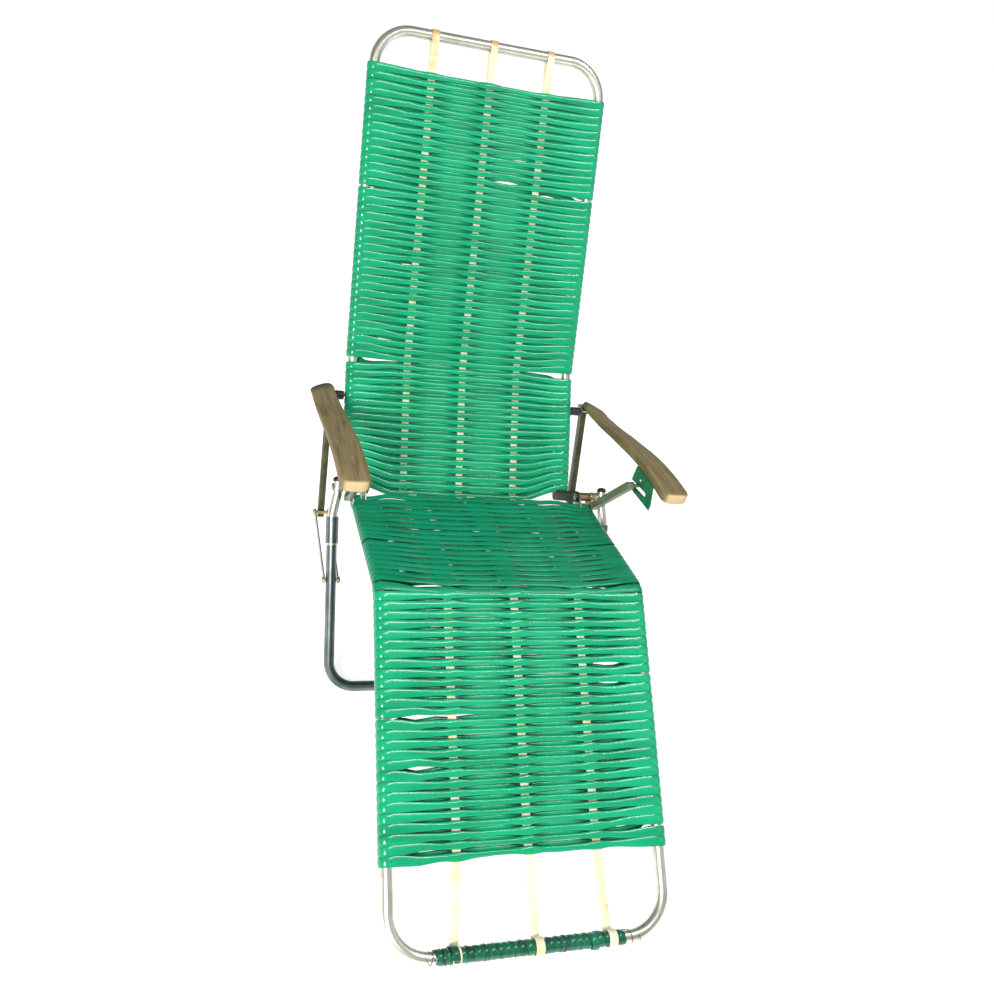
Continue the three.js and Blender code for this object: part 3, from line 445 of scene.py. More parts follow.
def put(name, mesh, material, body, nodes=()):
    """Link a mesh as a piece that rides on a body and stands for the CAD nodes it replaces."""
    piece = in_scene(name, mesh)
    mesh.materials.append(material)
    for polygon in mesh.polygons:
        polygon.use_smooth = True
    mesh.set_sharp_from_angle(angle=SMOOTH_ANGLE)
    if body:
        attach(piece, body)
    if nodes:
        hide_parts(*nodes)
    return piece


def mesh_from(name, bm):
    bmesh.ops.recalc_face_normals(bm, faces=bm.faces)
    mesh = bpy.data.meshes.new(name)
    bm.to_mesh(mesh)
    bm.free()
    return mesh


# %% A route of straight runs and bends
BEND_STEP = math.radians(6)


def rounded(corners, radii):
    """The corners with an arc of the given radius at each inner one, as a list of points."""
    points = [corners[0].copy()]
    for before, corner, after, radius in zip(corners, corners[1:], corners[2:], radii):
        into = (corner - before).normalized()
        out = (after - corner).normalized()
        turn = into.angle(out)
        aside = (out - into * into.dot(out)).normalized()
        start = corner - into * radius * math.tan(turn / 2)
        centre = start + aside * radius
        steps = max(2, math.ceil(turn / BEND_STEP))
        for i in range(steps + 1):
            angle = turn * i / steps
            points.append(centre - aside * radius * math.cos(angle) + into * radius * math.sin(angle))
    points.append(corners[-1].copy())
    return points


# %% A route with one bend, read by the distance run along it


class Track:
    """Two straight runs joined by a bend, with the webbing's face on one side of them."""

    def __init__(self, start, first, second, corner, radius, face):
        self.start, self.first, self.second = start, first, second
        self.radius, self.face = radius, face
        turn = math.radians(second - first)
        self.bend_start = corner - radius * math.tan(turn / 2)
        self.bend_end = self.bend_start + radius * turn

    def after(self, run):
        """The run from the start, for a run counted from the corner."""
        return self.bend_end + run - self.radius * math.tan(math.radians(self.second - self.first) / 2)

    def at(self, run):
        """The point on the tube's middle line, the forward direction and the face's normal."""
        share = (run - self.bend_start) / (self.bend_end - self.bend_start)
        degrees = between(self.first, self.second, max(0.0, min(1.0, share)))
        bent = math.radians(degrees - self.first)
        ahead = min(run, self.bend_start) + self.radius * math.sin(bent)
        point = self.start + heading(self.first) * ahead
        point = point + heading(self.first + 90) * self.radius * (1 - math.cos(bent))
        point = point + heading(self.second) * max(0.0, run - self.bend_end)
        return point, heading(degrees), heading(degrees + 90 * self.face)


# %% A round tube along a route
ROUND_STEPS = 10


def tube_mesh(name, points, radius):
    curve = bpy.data.curves.new(name, "CURVE")
    curve.dimensions = "3D"
    curve.bevel_depth = radius
    curve.bevel_resolution = ROUND_STEPS
    curve.use_fill_caps = True
    spline = curve.splines.new("POLY")
    spline.points.add(len(points) - 1)
    for place, point in zip(spline.points, points):
        place.co = (*point, 1)
    holder = bpy.data.objects.new(name + "_line", curve)
    mesh = bpy.data.meshes.new_from_object(holder)
    bpy.data.objects.remove(holder)
    bm = bmesh.new()
    bm.from_mesh(mesh)
    bmesh.ops.remove_doubles(bm, verts=bm.verts, dist=WELD)
    return mesh_from(name, bm)


# %% A ribbon rolled along a route


def travelled(stations, centre):
    """The distance along a route of stations up to a new centre."""
    return stations[-1][3] + (centre - stations[-1][0]).length if stations else 0.0


def rolled(name, stations, section):
    """Roll a grid into a cord. A station is (centre, wide, thick, distance, darkening), where the
    darkening is painted shade on a winding and a random darker tone on the end bar's wrap; a section
    point is (w, t)."""
    bm = bmesh.new()
    rows, sides = len(stations) - 1, len(section)
    bmesh.ops.create_grid(bm, x_segments=rows, y_segments=sides, size=1, calc_uvs=True)
    uv = bm.loops.layers.uv.verify()
    # Kept on each vertex for the finish: painted shade on the windings, a random darker tone on the end
    # bar's wrap
    painted_shade_and_tone = bm.verts.layers.float.new("painted_shade_and_tone")
    index = {}
    for vertex in bm.verts:
        i = round((vertex.co.x + 1) / 2 * rows)
        k = round((vertex.co.y + 1) / 2 * sides)
        index[vertex] = (i, k)
    for face in bm.faces:
        for loop in face.loops:
            i, k = index[loop.vert]
            loop[uv].uv = (k / sides, stations[i][3])
    for vertex, (i, k) in index.items():
        centre, wide, thick, _, depth = stations[i]
        w, t = section[k % sides]
        vertex[painted_shade_and_tone] = depth
        vertex.co = centre + wide * w + thick * t
    bmesh.ops.remove_doubles(bm, verts=bm.verts, dist=1e-7)
    rims = [edge for edge in bm.edges if edge.is_boundary]
    bmesh.ops.holes_fill(bm, edges=rims, sides=0)
    return mesh_from(name, bm)


def oval(sides, squareness):
    """A flattened section, one unit wide and one thick each way from its middle."""
    points = []
    for k in range(sides):
        angle = math.tau * (k + 0.5) / sides
        c, s = math.cos(angle), math.sin(angle)
        points.append((math.copysign(abs(c) ** squareness, c), math.copysign(abs(s) ** squareness, s)))
    return points


# %% A fastener turned on an axis across the chair
SPIN_STEPS = 28


def turned(name, centre, profile):
    """Spin a profile of (radius, place across) about a line through the centre along X."""
    bm = bmesh.new()
    verts = [bm.verts.new((x, centre.y, centre.z + radius)) for radius, x in profile]
    edges = [bm.edges.new(pair) for pair in zip(verts, verts[1:])]
    bmesh.ops.spin(
        bm, geom=verts + edges, cent=(0, centre.y, centre.z), axis=(1, 0, 0), angle=math.tau,
        steps=SPIN_STEPS, use_merge=True,
    )
    bmesh.ops.remove_doubles(bm, verts=bm.verts, dist=WELD)
    return mesh_from(name, bm)


# %% A CAD solid with eased edges
EASE_WIDTH, EASE_SEGMENTS = 0.5 * MM, 2
FLAT_ANGLE, SHARP_ANGLE = math.radians(1), math.radians(50)


def eased(node, material):
    """A copy of a CAD solid, welded, with its sharp edges bevelled."""
    bm = bmesh.new()
    bm.from_mesh(frame["nodes"][node].data)
    bmesh.ops.remove_doubles(bm, verts=bm.verts, dist=WELD)
    bmesh.ops.dissolve_limit(bm, angle_limit=FLAT_ANGLE, verts=bm.verts, edges=bm.edges)
    edges = [e for e in bm.edges if e.is_manifold and e.calc_face_angle() > SHARP_ANGLE]
    bmesh.ops.bevel(
        bm, geom=edges, offset=EASE_WIDTH, offset_type="OFFSET", segments=EASE_SEGMENTS,
        affect="EDGES", profile=0.5, clamp_overlap=True, material=-1,
    )
    return put(node + "_finished", mesh_from(node, bm), material, body_of(node), [node])


SIDES = {"left": -1, "right": 1}

# %% [markdown]
# ## Frame tubes
# The CAD tubes have ten flats, which is plenty for collision and too few for a highlight. Each is drawn
# again along the same route with a smooth round section. The seat's and the back's routes come from the
# corners above, the knee bar's from its node's box, and the legs' from their own angles at the hip.

# %% Seat and back frames


def mirrored(points):
    return [Vector((-p.x, p.y, p.z)) for p in points]


def u_route(half, radii):
    """A route along the right half of a frame and back on the left."""
    return rounded(half + mirrored(reversed(half)), radii + radii[::-1])


def put_tube(name, route, radius, material, body, node):
    put(name, tube_mesh(name, route, radius), material, body, [node])


seat_half = [across(tube_x, corner) for corner in (seat_end, knee, toe)]
back_half = [across(tube_x, corner) for corner in (back_end, back_bend, back_top)]
seat_route = u_route(seat_half, [knee_radius, corner_radius])
back_route = u_route(back_half, [bend_radius, corner_radius])
put_tube("seat_tube_smooth", seat_route, tube_radius, aluminium, "seat", "seat_frame_tube")
put_tube("back_tube_smooth", back_route, tube_radius, aluminium, "back", "back_frame_tube")
knee_bar = [across(end.x, middle("knee_cross_bar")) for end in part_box("knee_cross_bar")]
put_tube("knee_bar_smooth", knee_bar, 8 * MM, aluminium, "seat", "knee_cross_bar")
print("tubes: seat", len(seat_route), "stations, back", len(back_route))

# %% [markdown]
# The front leg leans down and slightly in from its sleeve, turns through a bend and runs across the
# ground. The sleeve joins it to the shorter tube that hangs on the hip bolt.

# %% Legs
LEG_SLOPE = 180 + 54.4
LEG_TOP_X, LEG_FOOT_X = 304 * MM, 295 * MM
SLEEVE_RUN = (62 * MM, 120 * MM)
FRONT_LEG_RADIUS, REAR_LEG_RADIUS = tube_radius - 0.25 * MM, 8.9 * MM
sleeve_middle = sum(SLEEVE_RUN) / 2
leg_run = (hip.z - tube_radius + 0.5 * MM) / -heading(LEG_SLOPE).z


def leg_point(run):
    share = (run - sleeve_middle) / (leg_run - sleeve_middle)
    return across(between(LEG_TOP_X, LEG_FOOT_X, share), hip + heading(LEG_SLOPE) * run)


front_route = u_route([leg_point(sleeve_middle), leg_point(leg_run)], [55 * MM])
put_tube("front_leg_smooth", front_route, FRONT_LEG_RADIUS, leg_metal, "front_leg", "front_leg_tube")

rear_pivot = hip + side(-30, -50) * MM
rear_foot = across(165 * MM, side(hip.y + 235 * MM, 8.5 * MM))
rear_heading = (side(rear_foot.y, rear_foot.z) - rear_pivot).normalized()
rear_top = across(224.5 * MM, rear_pivot - rear_heading * 12 * MM)
rear_route = u_route([rear_top, rear_foot], [50 * MM])
put_tube("rear_leg_smooth", rear_route, REAR_LEG_RADIUS, leg_metal, "rear_leg", "rear_leg_tube")

# %% Upper leg tubes, sleeves and caps
UPPER_X = 296.8 * MM
UPPER_RADIUS, SLEEVE_RADIUS, RING_RADIUS = 10 * MM, 13 * MM, 13.6 * MM
RING_LONG = 4 * MM
leg_down = heading(LEG_SLOPE)
for word, sign in SIDES.items():
    upper = [
        across(UPPER_X, hip - leg_down * 12 * MM),
        across(UPPER_X, hip + leg_down * 12 * MM),
        across(leg_point(SLEEVE_RUN[0]).x, hip + leg_down * 56 * MM),
        across(leg_point(SLEEVE_RUN[0]).x, hip + leg_down * 89 * MM),
    ]
    sleeve = [leg_point(run) for run in SLEEVE_RUN]
    ring = [leg_point(SLEEVE_RUN[1] - RING_LONG), leg_point(SLEEVE_RUN[1])]
    if sign < 0:
        upper, sleeve, ring = mirrored(upper), mirrored(sleeve), mirrored(ring)
    upper_route = rounded(upper, [55 * MM, 55 * MM])
    put_tube(f"leg_upper_smooth_{word}", upper_route, UPPER_RADIUS, aluminium, "front_leg",
             f"leg_upper_tube_{word}")
    put_tube(f"leg_sleeve_smooth_{word}", sleeve, SLEEVE_RADIUS, leg_metal, "front_leg",
             f"leg_sleeve_{word}")
    put(f"sleeve_ring_{word}", tube_mesh("sleeve_ring", ring, RING_RADIUS), pale_brass, "front_leg")
    eased(f"leg_end_cap_{word}", black_plastic)

# %% [markdown]
# ## Flat hardware and fasteners
# Plates, links, brackets and bars keep their CAD outlines and only have their edges eased. Bolts, pins
# and spacers are spun afresh, because their CAD stand-ins are ten-sided.

# %% Plates, links, brackets and bars
FLAT_HARDWARE = {
    "hip_plate_inner": (steel, "steel"),
    "hip_plate_outer": (steel, "steel"),
    "hip_hex_spacer": (pale_brass, "brass"),
    "arm_link": (link_enamel, "green_steel"),
    "back_lug": (black_enamel, "black_steel"),
    "arm_rear_bracket": (steel, "steel"),
    "arm_notched_bracket": (green_enamel, "green_steel"),
    "stay_strut": (olive_enamel, "olive_steel"),
    "brace_bar_inner": (steel, "steel"),
    "brace_bar_outer": (steel, "steel"),
}


def both_sides(table):
    """The rows of a table, each with its left and then its right node's name."""
    for node, row in table.items():
        for word in SIDES:
            yield f"{node}_{word}", *row


for name, material, slot in both_sides(FLAT_HARDWARE):
    eased(name, material)

# %% Bolts, pins and spacers
HEAD = 3.5 * MM
# The diameter of each shank in millimetres
FASTENERS = {
    "hip_bolt": (8, steel, "steel"),
    "rear_leg_bolt": (8, steel, "steel"),
    "arm_pivot_bolt": (5.2, steel, "steel"),
    "bracket_bolt": (5.2, steel, "steel"),
    "leg_pin": (7, brass, "brass"),
    "elbow_pin": (7, brass, "brass"),
}


def bolt_profile(low, high, head_radius, shank_radius):
    """A domed head at each end of a shank, from the axis out and back to it."""
    dome = [(0.0, 0.0), (0.45, 0.06), (0.8, 0.3), (1.0, 0.75), (1.0, 1.0)]
    first = [(head_radius * r, low + HEAD * h) for r, h in dome]
    last = [(head_radius * r, high - HEAD * h) for r, h in reversed(dome)]
    return first + [(shank_radius, low + HEAD), (shank_radius, high - HEAD)] + last


def round_box(name):
    """Both ends across of a round CAD solid, and its radius."""
    low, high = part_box(name)
    return low.x, high.x, max(high.y - low.y, high.z - low.z) / 2


def put_turned(name, profile, material):
    put(name + "_turned", turned(name, middle(name), profile), material, body_of(name), [name])


for name, shank, material, slot in both_sides(FASTENERS):
    low, high, radius = round_box(name)
    put_turned(name, bolt_profile(low, high, radius, shank / 2 * MM), material)

CHAMFER = 0.6 * MM
# The radius of each bore in millimetres
COLLARS = {
    "hip_spacer": (4.3, brass, "brass"),
    "arm_pivot_spacer": (2.9, black_plastic, "black_plastic"),
}
for name, bore, material, slot in both_sides(COLLARS):
    low, high, radius = round_box(name)
    profile = [
        (bore * MM, low), (radius - CHAMFER, low), (radius, low + CHAMFER),
        (radius, high - CHAMFER), (radius - CHAMFER, high), (bore * MM, high), (bore * MM, low),
    ]
    put_turned(name, profile, material)

# %% [markdown]
# ## The winding
# One long cord goes over the seat from left to right, round the right tube, back beneath and round the
# left tube, again and again. On the tubes it lies flat and wide. Between them it narrows, and the upper
# and lower runs are drawn together, one over the straps and one under them. So each loop is a route in
# the tube's own directions, run, normal and X, with a width and a thickness at each station.

# %% Sizes of the cord
# Half the thickness between the tubes and on them, and half the width of a strand beneath
SPAN_THIN = 3.1 * MM
WRAP_THIN = 2.0 * MM
RETURN_WIDE = 4.3 * MM
STRAP_PLACES = {"left": -130 * MM, "centre": 0.0, "right": 130 * MM}
STRAP_HALF = 7.8 * MM
STRAP_THICK = 1.6 * MM
STRAP_EDGE = STRAP_PLACES["right"] + STRAP_HALF
# Heights off the tubes' middle plane: on a strap, and of a strand above and one beneath
OVER_STRAP = 4.2 * MM
UPPER_HEIGHT, LOWER_HEIGHT = 1.6 * MM, 0.9 * MM
# How far in from a tube a strand has settled, and one beneath has changed rows
SPAN_REACH = 102 * MM
QUICK_TURN = 24 * MM
# How far from a strap's middle a strand above and one beneath rise over it
STRAP_REACH, LOWER_STRAP_REACH = 26 * MM, 50 * MM
# Angles of the turns round the left and the right tube
LEFT_TURN, RIGHT_TURN, WRAP_STEPS = (266, 94), (86, -86), 10
# Stretches in which a strand sways, and half the length of a parting
SWAYS = 8
PARTING = 25 * MM
# Painted shade on a strand beneath: the least, and at the tubes as a share of that at the straps
LEAST_PAINTED_SHADE, TUBE_PAINTED_SHADE = 0.1, 0.7
cord_reach = tube_radius + 0.3 * MM + WRAP_THIN
cord_section = oval(CORD_SIDES, 0.94)

# Places across at which the strand is bent: each strap's edges, and steps between
SPAN_PLACES = [242, 234, 224, 212, 196, 178, 160, 148, 139, 130, 121, 112, 98, 82, 65, 46, 28, 16, 8]
SPAN_PLACES = [-x * MM for x in SPAN_PLACES] + [0.0] + [x * MM for x in reversed(SPAN_PLACES)]


def ease(share):
    """From 0 to 1 with a level start and end."""
    share = max(0.0, min(1.0, share))
    return share * share * (3 - 2 * share)


def strap_nearness(x, reach=STRAP_REACH):
    """1 on a strap, 0 from the given reach off its middle line."""
    away = min(abs(x - place) for place in STRAP_PLACES.values())
    return ease((reach - away) / (reach - 9 * MM))


def inward(x, reach):
    """0 beside a tube, 1 from the given reach inward."""
    return ease((tube_x - 14 * MM - abs(x)) / reach)


def strand_height(x, low, high, reach=STRAP_REACH):
    """Height off the tubes' middle plane, given that between the straps and that on them."""
    height = between(low, high, strap_nearness(x, reach))
    outer = (abs(x) - STRAP_EDGE) / (tube_x - STRAP_EDGE)
    return height + (cord_reach * 0.97 - low) * max(0.0, outer)


# %% Places of the rows
# Rows to each side that a row is evened out with, and rows from an end that a pull reaches
EVENED_ROWS, PULLED_ROWS = 4, 8


def even_rows(first, last, count, seed, gaps=()):
    """Rows from first to last with small irregularities, and wider gaps after some of them."""
    chance = random.Random(seed)
    extra = sum(width for _, width in gaps)
    pitch = (last - first - extra) / (count - 1)
    rows, run = [], first
    for i in range(count):
        rows.append(run + chance.uniform(-0.5, 0.5) * MM)
        run += pitch + sum(width for row, width in gaps if row == i)
    return rows


def settled(rows, pull_first=0.0, pull_last=0.0):
    """Where the rows lie in mid-span: the gaps close, and the end rows may be pulled outward."""
    places = []
    for i in range(len(rows)):
        left = len(rows) - 1 - i
        near = min(EVENED_ROWS, i, left)
        window = rows[i - near : i + near + 1]
        pull = pull_first * max(0.0, 1 - i / PULLED_ROWS) + pull_last * max(0.0, 1 - left / PULLED_ROWS)
        places.append(sum(window) / len(window) + pull)
    return places


# %% One winding


def wound(name, track, rows, rights, middles, covers, seed, parted=(), closed=False, reach=SPAN_REACH,
          over_strap=OVER_STRAP, return_wide=RETURN_WIDE, gloom=0.8):
    """Wind a cord on both side tubes. rows and rights are the runs at the left and the right tube, and
    middles those in mid-span. covers is the share of the pitch that the upper strand covers on the
    tubes, between the straps and on them. parted lists (row, place across, opening) of gaps. A closed
    winding ends with one more strand beneath. The rows have settled at the given reach from a tube,
    over_strap is a strand's height on a strap, return_wide half the width of a strand beneath, and
    gloom the painted shade on one at a strap, where it lies in the shade of the others."""
    chance = random.Random(seed)
    stations = []
    pitch = (rows[-1] - rows[0]) / (len(rows) - 1)
    on_tube, cover, strap_cover = covers
    wrap_wide = pitch / 2 * on_tube

    # depth is the painted shade kept on the vertices of this station
    def add(run, x, height, wide, thin, turn, depth=0.0):
        point, forward, normal = track.at(run)
        spoke = Vector((math.cos(turn), 0, 0)) + normal * math.sin(turn)
        centre = across(x, point + normal * height)
        stations.append((centre, forward * wide, spoke * thin, travelled(stations, centre), depth))

    def shift(i, x, below):
        total = 0.0
        for row, place, opening in parted:
            bump = math.exp(-(((x - place) / PARTING) ** 2))
            if below and i == row:
                total += opening * bump
            elif not below and i in (row, row + 1):
                total += opening * bump * (-0.5 if i == row else 0.5)
        return total

    def wrap(side_sign, run, first, last):
        for k in range(WRAP_STEPS + 1):
            turn = math.radians(first + (last - first) * k / WRAP_STEPS)
            place = side_sign * tube_x + cord_reach * math.cos(turn)
            add(run, place, cord_reach * math.sin(turn), wrap_wide, WRAP_THIN, turn)

    def over(i):
        """The upper strand, straight across and settled in mid-span."""
        sway = [chance.uniform(-1.3, 1.3) * MM for _ in range(SWAYS + 1)]
        lift = chance.uniform(-0.4, 0.4) * MM
        tight = chance.uniform(-0.09, 0.07)
        for x in SPAN_PLACES:
            share = (x - SPAN_PLACES[0]) / (SPAN_PLACES[-1] - SPAN_PLACES[0])
            near = min(SWAYS - 1, int(share * SWAYS))
            wander = between(sway[near], sway[near + 1], share * SWAYS - near)
            tube_run = rows[i] if x < 0 else rights[i]
            inner = inward(x, reach)
            run = between(tube_run, middles[i] + wander, inner) + shift(i, x, False)
            room = (middle_nexts[i] - middles[max(0, i - 1)]) / (2 if i else 1)
            covered = between(cover, strap_cover + tight, strap_nearness(x))
            wide = between(wrap_wide, room / 2 * covered + wander * 0.4, inner)
            thin = between(WRAP_THIN, SPAN_THIN, inner)
            height = strand_height(x, UPPER_HEIGHT, over_strap) + lift * inner
            add(run, x, height, wide, thin, math.pi / 2)

    def under(i):
        """The strand beneath, which lies between two upper ones and leads to the next loop."""
        lift = chance.uniform(-0.4, 0.2) * MM
        for x in reversed(SPAN_PLACES):
            inner = inward(x, reach)
            half = pitch / 2 * inward(x, QUICK_TURN)
            tube_run = nexts[i] - half if x < 0 else rights[i] + half
            settled_run = middles[i] + (middle_nexts[i] - middles[i]) / 2
            run = between(tube_run, settled_run, inner) + shift(i, x, True)
            wide = between(wrap_wide, return_wide, inner)
            thin = between(WRAP_THIN, SPAN_THIN, inner)
            height = strand_height(x, LOWER_HEIGHT, over_strap, LOWER_STRAP_REACH) + lift * inner
            # Painted shade on the strand beneath: darker where it dips under a strap and beside the
            # tubes, where the strands above shade it
            by_tube = 1 - inward(x, 60 * MM)
            depth = LEAST_PAINTED_SHADE + gloom * max(strap_nearness(x, 48 * MM), TUBE_PAINTED_SHADE * by_tube)
            add(run, x, -height, wide, thin, -math.pi / 2, depth)

    nexts = [*rows[1:], rows[-1] + pitch]
    middle_nexts = [*middles[1:], middles[-1] + pitch]
    for i, (run, right) in enumerate(zip(rows, rights)):
        wrap(-1, run, *LEFT_TURN)
        over(i)
        wrap(1, right, *RIGHT_TURN)
        if closed or i + 1 < len(rows):
            under(i)
    print(name, len(rows), "loops,", round(stations[-1][3], 2), "m of cord")
    return rolled(name, stations, cord_section)


# %% The four windings
seat_track = Track(seat_end, seat_heading, foot_heading, seat_run * MM, knee_radius, -1)
back_track = Track(back_end, lower_heading, upper_heading, lower_run * MM, bend_radius, 1)
LEFT_GAP, RIGHT_GAP = -196 * MM, 190 * MM
FOOT_LAST, UPPER_LAST = seat_track.after(470 * MM), back_track.after(607 * MM)
seat_rows, seat_rights = (even_rows(17 * MM, 323 * MM, 19, seed, [(9, 5 * MM)]) for seed in (3, 4))
foot_rows = even_rows(338 * MM, FOOT_LAST, 27, 5, [(12, 2 * MM)])
foot_rights = even_rows(338 * MM, FOOT_LAST, 27, 6, [(8, 2 * MM), (24, 3 * MM)])
lower_rows, lower_rights = (even_rows(26 * MM, 278 * MM, 17, seed) for seed in (7, 8))
upper_rows = even_rows(308 * MM, UPPER_LAST, 37, 9, [(21, 5 * MM)])
upper_rights = even_rows(308 * MM, UPPER_LAST, 37, 10, [(23, 5 * MM)])


def put_winding(name, material, body, *layout, **options):
    put("cord_" + name, wound(name, *layout, **options), material, body, [name])


put_winding(
    "winding_seat", seat_vinyl, "seat", seat_track, seat_rows, seat_rights,
    settled(seat_rows, -24 * MM, 5 * MM), (1.04, 0.76, 1.1), 11,
    [(9, -178 * MM, 3 * MM), (15, LEFT_GAP, 3 * MM)],
    closed=True, reach=60 * MM, over_strap=3.2 * MM, return_wide=5.2 * MM,
)
put_winding(
    "winding_footrest", cord_vinyl, "seat", seat_track, foot_rows, foot_rights,
    settled(foot_rows, -4 * MM), (1.05, 0.64, 0.88), 12,
    [(12, LEFT_GAP, 8 * MM), (17, LEFT_GAP, 8 * MM), (25, LEFT_GAP, 5 * MM), (7, RIGHT_GAP, 6 * MM),
     (9, RIGHT_GAP, 5 * MM), (24, RIGHT_GAP, 5 * MM), (12, -130 * MM, 3 * MM)],
)
put_winding(
    "winding_lower_back", cord_vinyl, "back", back_track, lower_rows, lower_rights,
    settled(lower_rows, -26 * MM, 6 * MM), (1.04, 0.66, 0.84), 13,
    closed=True, reach=90 * MM, return_wide=4.8 * MM, gloom=0.5,
)
put_winding(
    "winding_upper_back", cord_vinyl, "back", back_track, upper_rows, upper_rights,
    settled(upper_rows, -6 * MM), (1.04, 0.66, 0.84), 14,
    [(23, 165 * MM, 4 * MM), (24, 60 * MM, 4 * MM), (27, 90 * MM, 3 * MM), (29, -185 * MM, 4 * MM),
     (31, -180 * MM, 3 * MM), (2, LEFT_GAP, 4 * MM), (12, -150 * MM, 3 * MM)],
    return_wide=4.8 * MM, gloom=0.5,
)

# %% [markdown]
# The bar at the foot is wrapped in broad flat turns of a darker cord, a plain spiral with a thicker
# knot beside each outer strap. A thin black thread is scribbled over it from end to end.

# %% The wrap on the end bar
WRAP_HALF = 172 * MM
WRAP_TURNS, TURN_STEPS = 26, 16
# In millimetres: half the width and half the thickness of the cord, and how far a knot stands out
FLAT_WIDE, FLAT_THIN, KNOT_RISE = 6.9, 1.3, 3.4
KNOTS, KNOT_HALF = (-144 * MM, 115 * MM), 5.5 * MM


def bar_wrap():
    chance = random.Random(21)
    stations = []
    steps = WRAP_TURNS * TURN_STEPS
    wobble = [chance.uniform(-0.5, 0.5) * MM for _ in range(WRAP_TURNS + 1)]
    shades = [chance.uniform(0.0, 0.6) for _ in range(WRAP_TURNS + 1)]
    for i in range(steps + 1):
        turn = i // TURN_STEPS
        angle = math.tau * i / TURN_STEPS
        x = -WRAP_HALF + 2 * WRAP_HALF * i / steps
        knot = sum(math.exp(-(((x - place) / KNOT_HALF) ** 4)) for place in KNOTS)
        reach = tube_radius + FLAT_THIN * MM + knot * KNOT_RISE * MM + wobble[turn] * 0.5
        spoke = side(math.cos(angle), math.sin(angle))
        centre = across(x + wobble[turn], toe + spoke * reach)
        wide = Vector((FLAT_WIDE * MM, 0, 0))
        thick = spoke * FLAT_THIN * MM
        stations.append((centre, wide, thick, travelled(stations, centre), shades[turn]))
    print("bar_wrap", WRAP_TURNS, "turns,", round(stations[-1][3], 2), "m of cord")
    return rolled("bar_wrap", stations, cord_section)


SCRIBBLE_HALF = WRAP_HALF + 30 * MM
SCRIBBLE_RADIUS = 0.45 * MM
# Its height over the bar on the wrap and beside it
OVER_WRAP, OVER_BAR = 3.0 * MM, 0.6 * MM
# Steps of one slope, and how far each goes across and round
SCRIBBLE_STEPS, SCRIBBLE_ALONG, SCRIBBLE_ROUND = 14, 2 * MM, 0.45


def bar_thread():
    """A thin black thread scribbled round the wrap in turns of uneven slope."""
    chance = random.Random(22)
    points, x, angle = [], -SCRIBBLE_HALF, 0.0
    while x < SCRIBBLE_HALF:
        slope = chance.uniform(-0.8, 2.0)
        for _ in range(SCRIBBLE_STEPS):
            spoke = side(math.cos(angle), math.sin(angle))
            reach = tube_radius + (OVER_WRAP if abs(x) < WRAP_HALF - 4 * MM else OVER_BAR)
            points.append(across(x, toe + spoke * reach))
            x += SCRIBBLE_ALONG * slope * 0.6
            angle += SCRIBBLE_ROUND
    return tube_mesh("bar_thread", points, SCRIBBLE_RADIUS)


put("cord_end_bar_wrap", bar_wrap(), wrap_vinyl, "seat", ["end_bar_wrap"])
put("end_bar_thread", bar_thread(), black_plastic, "seat")

# %% [markdown]
# ## Straps
# Three tapes run the whole length of the chair between the upper and lower strands, and loop round the
# top bar and the foot bar, where each has slipped a little sideways. Each is a flat ribbon rolled along
# its route like the cord. The stretch over the hip has nothing to lie on, so it is a piece of its own
# that bends between the seat and the back.

# %% A tape along a route
tape_section = [
    (1, 0.5), (0.86, 1), (-0.86, 1), (-1, 0.5), (-1, -0.5), (-0.86, -1), (0.86, -1), (1, -0.5)
]
BAR_STEPS = 14


def tape_mesh(name, x, route, half=STRAP_HALF, drift=0.0):
    """A tape at a place across, which drifts sideways as it nears the foot bar."""
    stations = []
    for i, point in enumerate(route):
        before, after = route[max(0, i - 1)], route[min(len(route) - 1, i + 1)]
        forward = (after - before).normalized()
        thick = Vector((1, 0, 0)).cross(forward) * STRAP_THICK / 2
        late = ease((190 * MM - (point - toe).length) / (150 * MM))
        centre = across(x + drift * late, point)
        stations.append((centre, Vector((half, 0, 0)), thick, travelled(stations, centre), 0.0))
    print(name, round(stations[-1][3], 2), "m of tape")
    return rolled(name, stations, tape_section)


def round_bar(bar, arrive, leave, reach):
    """Points round a bar from one angle to the other, in degrees in the side view."""
    angles = [arrive + (leave - arrive) * i / BAR_STEPS for i in range(BAR_STEPS + 1)]
    return [bar + heading(angle) * reach for angle in angles]


def laid(track, first, last, height, count):
    """Points along a track from one run to another, at a height over its middle line."""
    points = []
    for i in range(count + 1):
        point, _, normal = track.at(first + (last - first) * i / count)
        points.append(point + normal * height)
    return points


# %% Seat and back tapes
top_reach = tube_radius + 0.3 * MM + STRAP_THICK / 2
foot_reach = tube_radius + 2.9 * MM + STRAP_THICK / 2
seat_start = seat_rows[0] - 44 * MM
back_start = lower_rows[0] - 30 * MM
FOOT_DRIFT = {"left": -9 * MM, "centre": 9 * MM, "right": 16 * MM}
TAIL, TAIL_HEIGHT = 60 * MM, -2.2 * MM
RUN_STEPS, TAIL_STEPS = 60, 4


def long_tape(body, word, track, first, last, bar, arrive, leave, reach, drift=0.0):
    """A tape along a track, round the bar at its end and a little way back beneath."""
    run = laid(track, first, last, 0, RUN_STEPS)
    loop = round_bar(bar, arrive, leave, reach)
    tail = laid(track, last, last - TAIL, TAIL_HEIGHT, TAIL_STEPS)
    name = f"tape_{body}_{word}"
    mesh = tape_mesh(name, STRAP_PLACES[word], run + loop + tail, drift=drift)
    put(name, mesh, tape, body, [f"{body}_strap_{word}"])


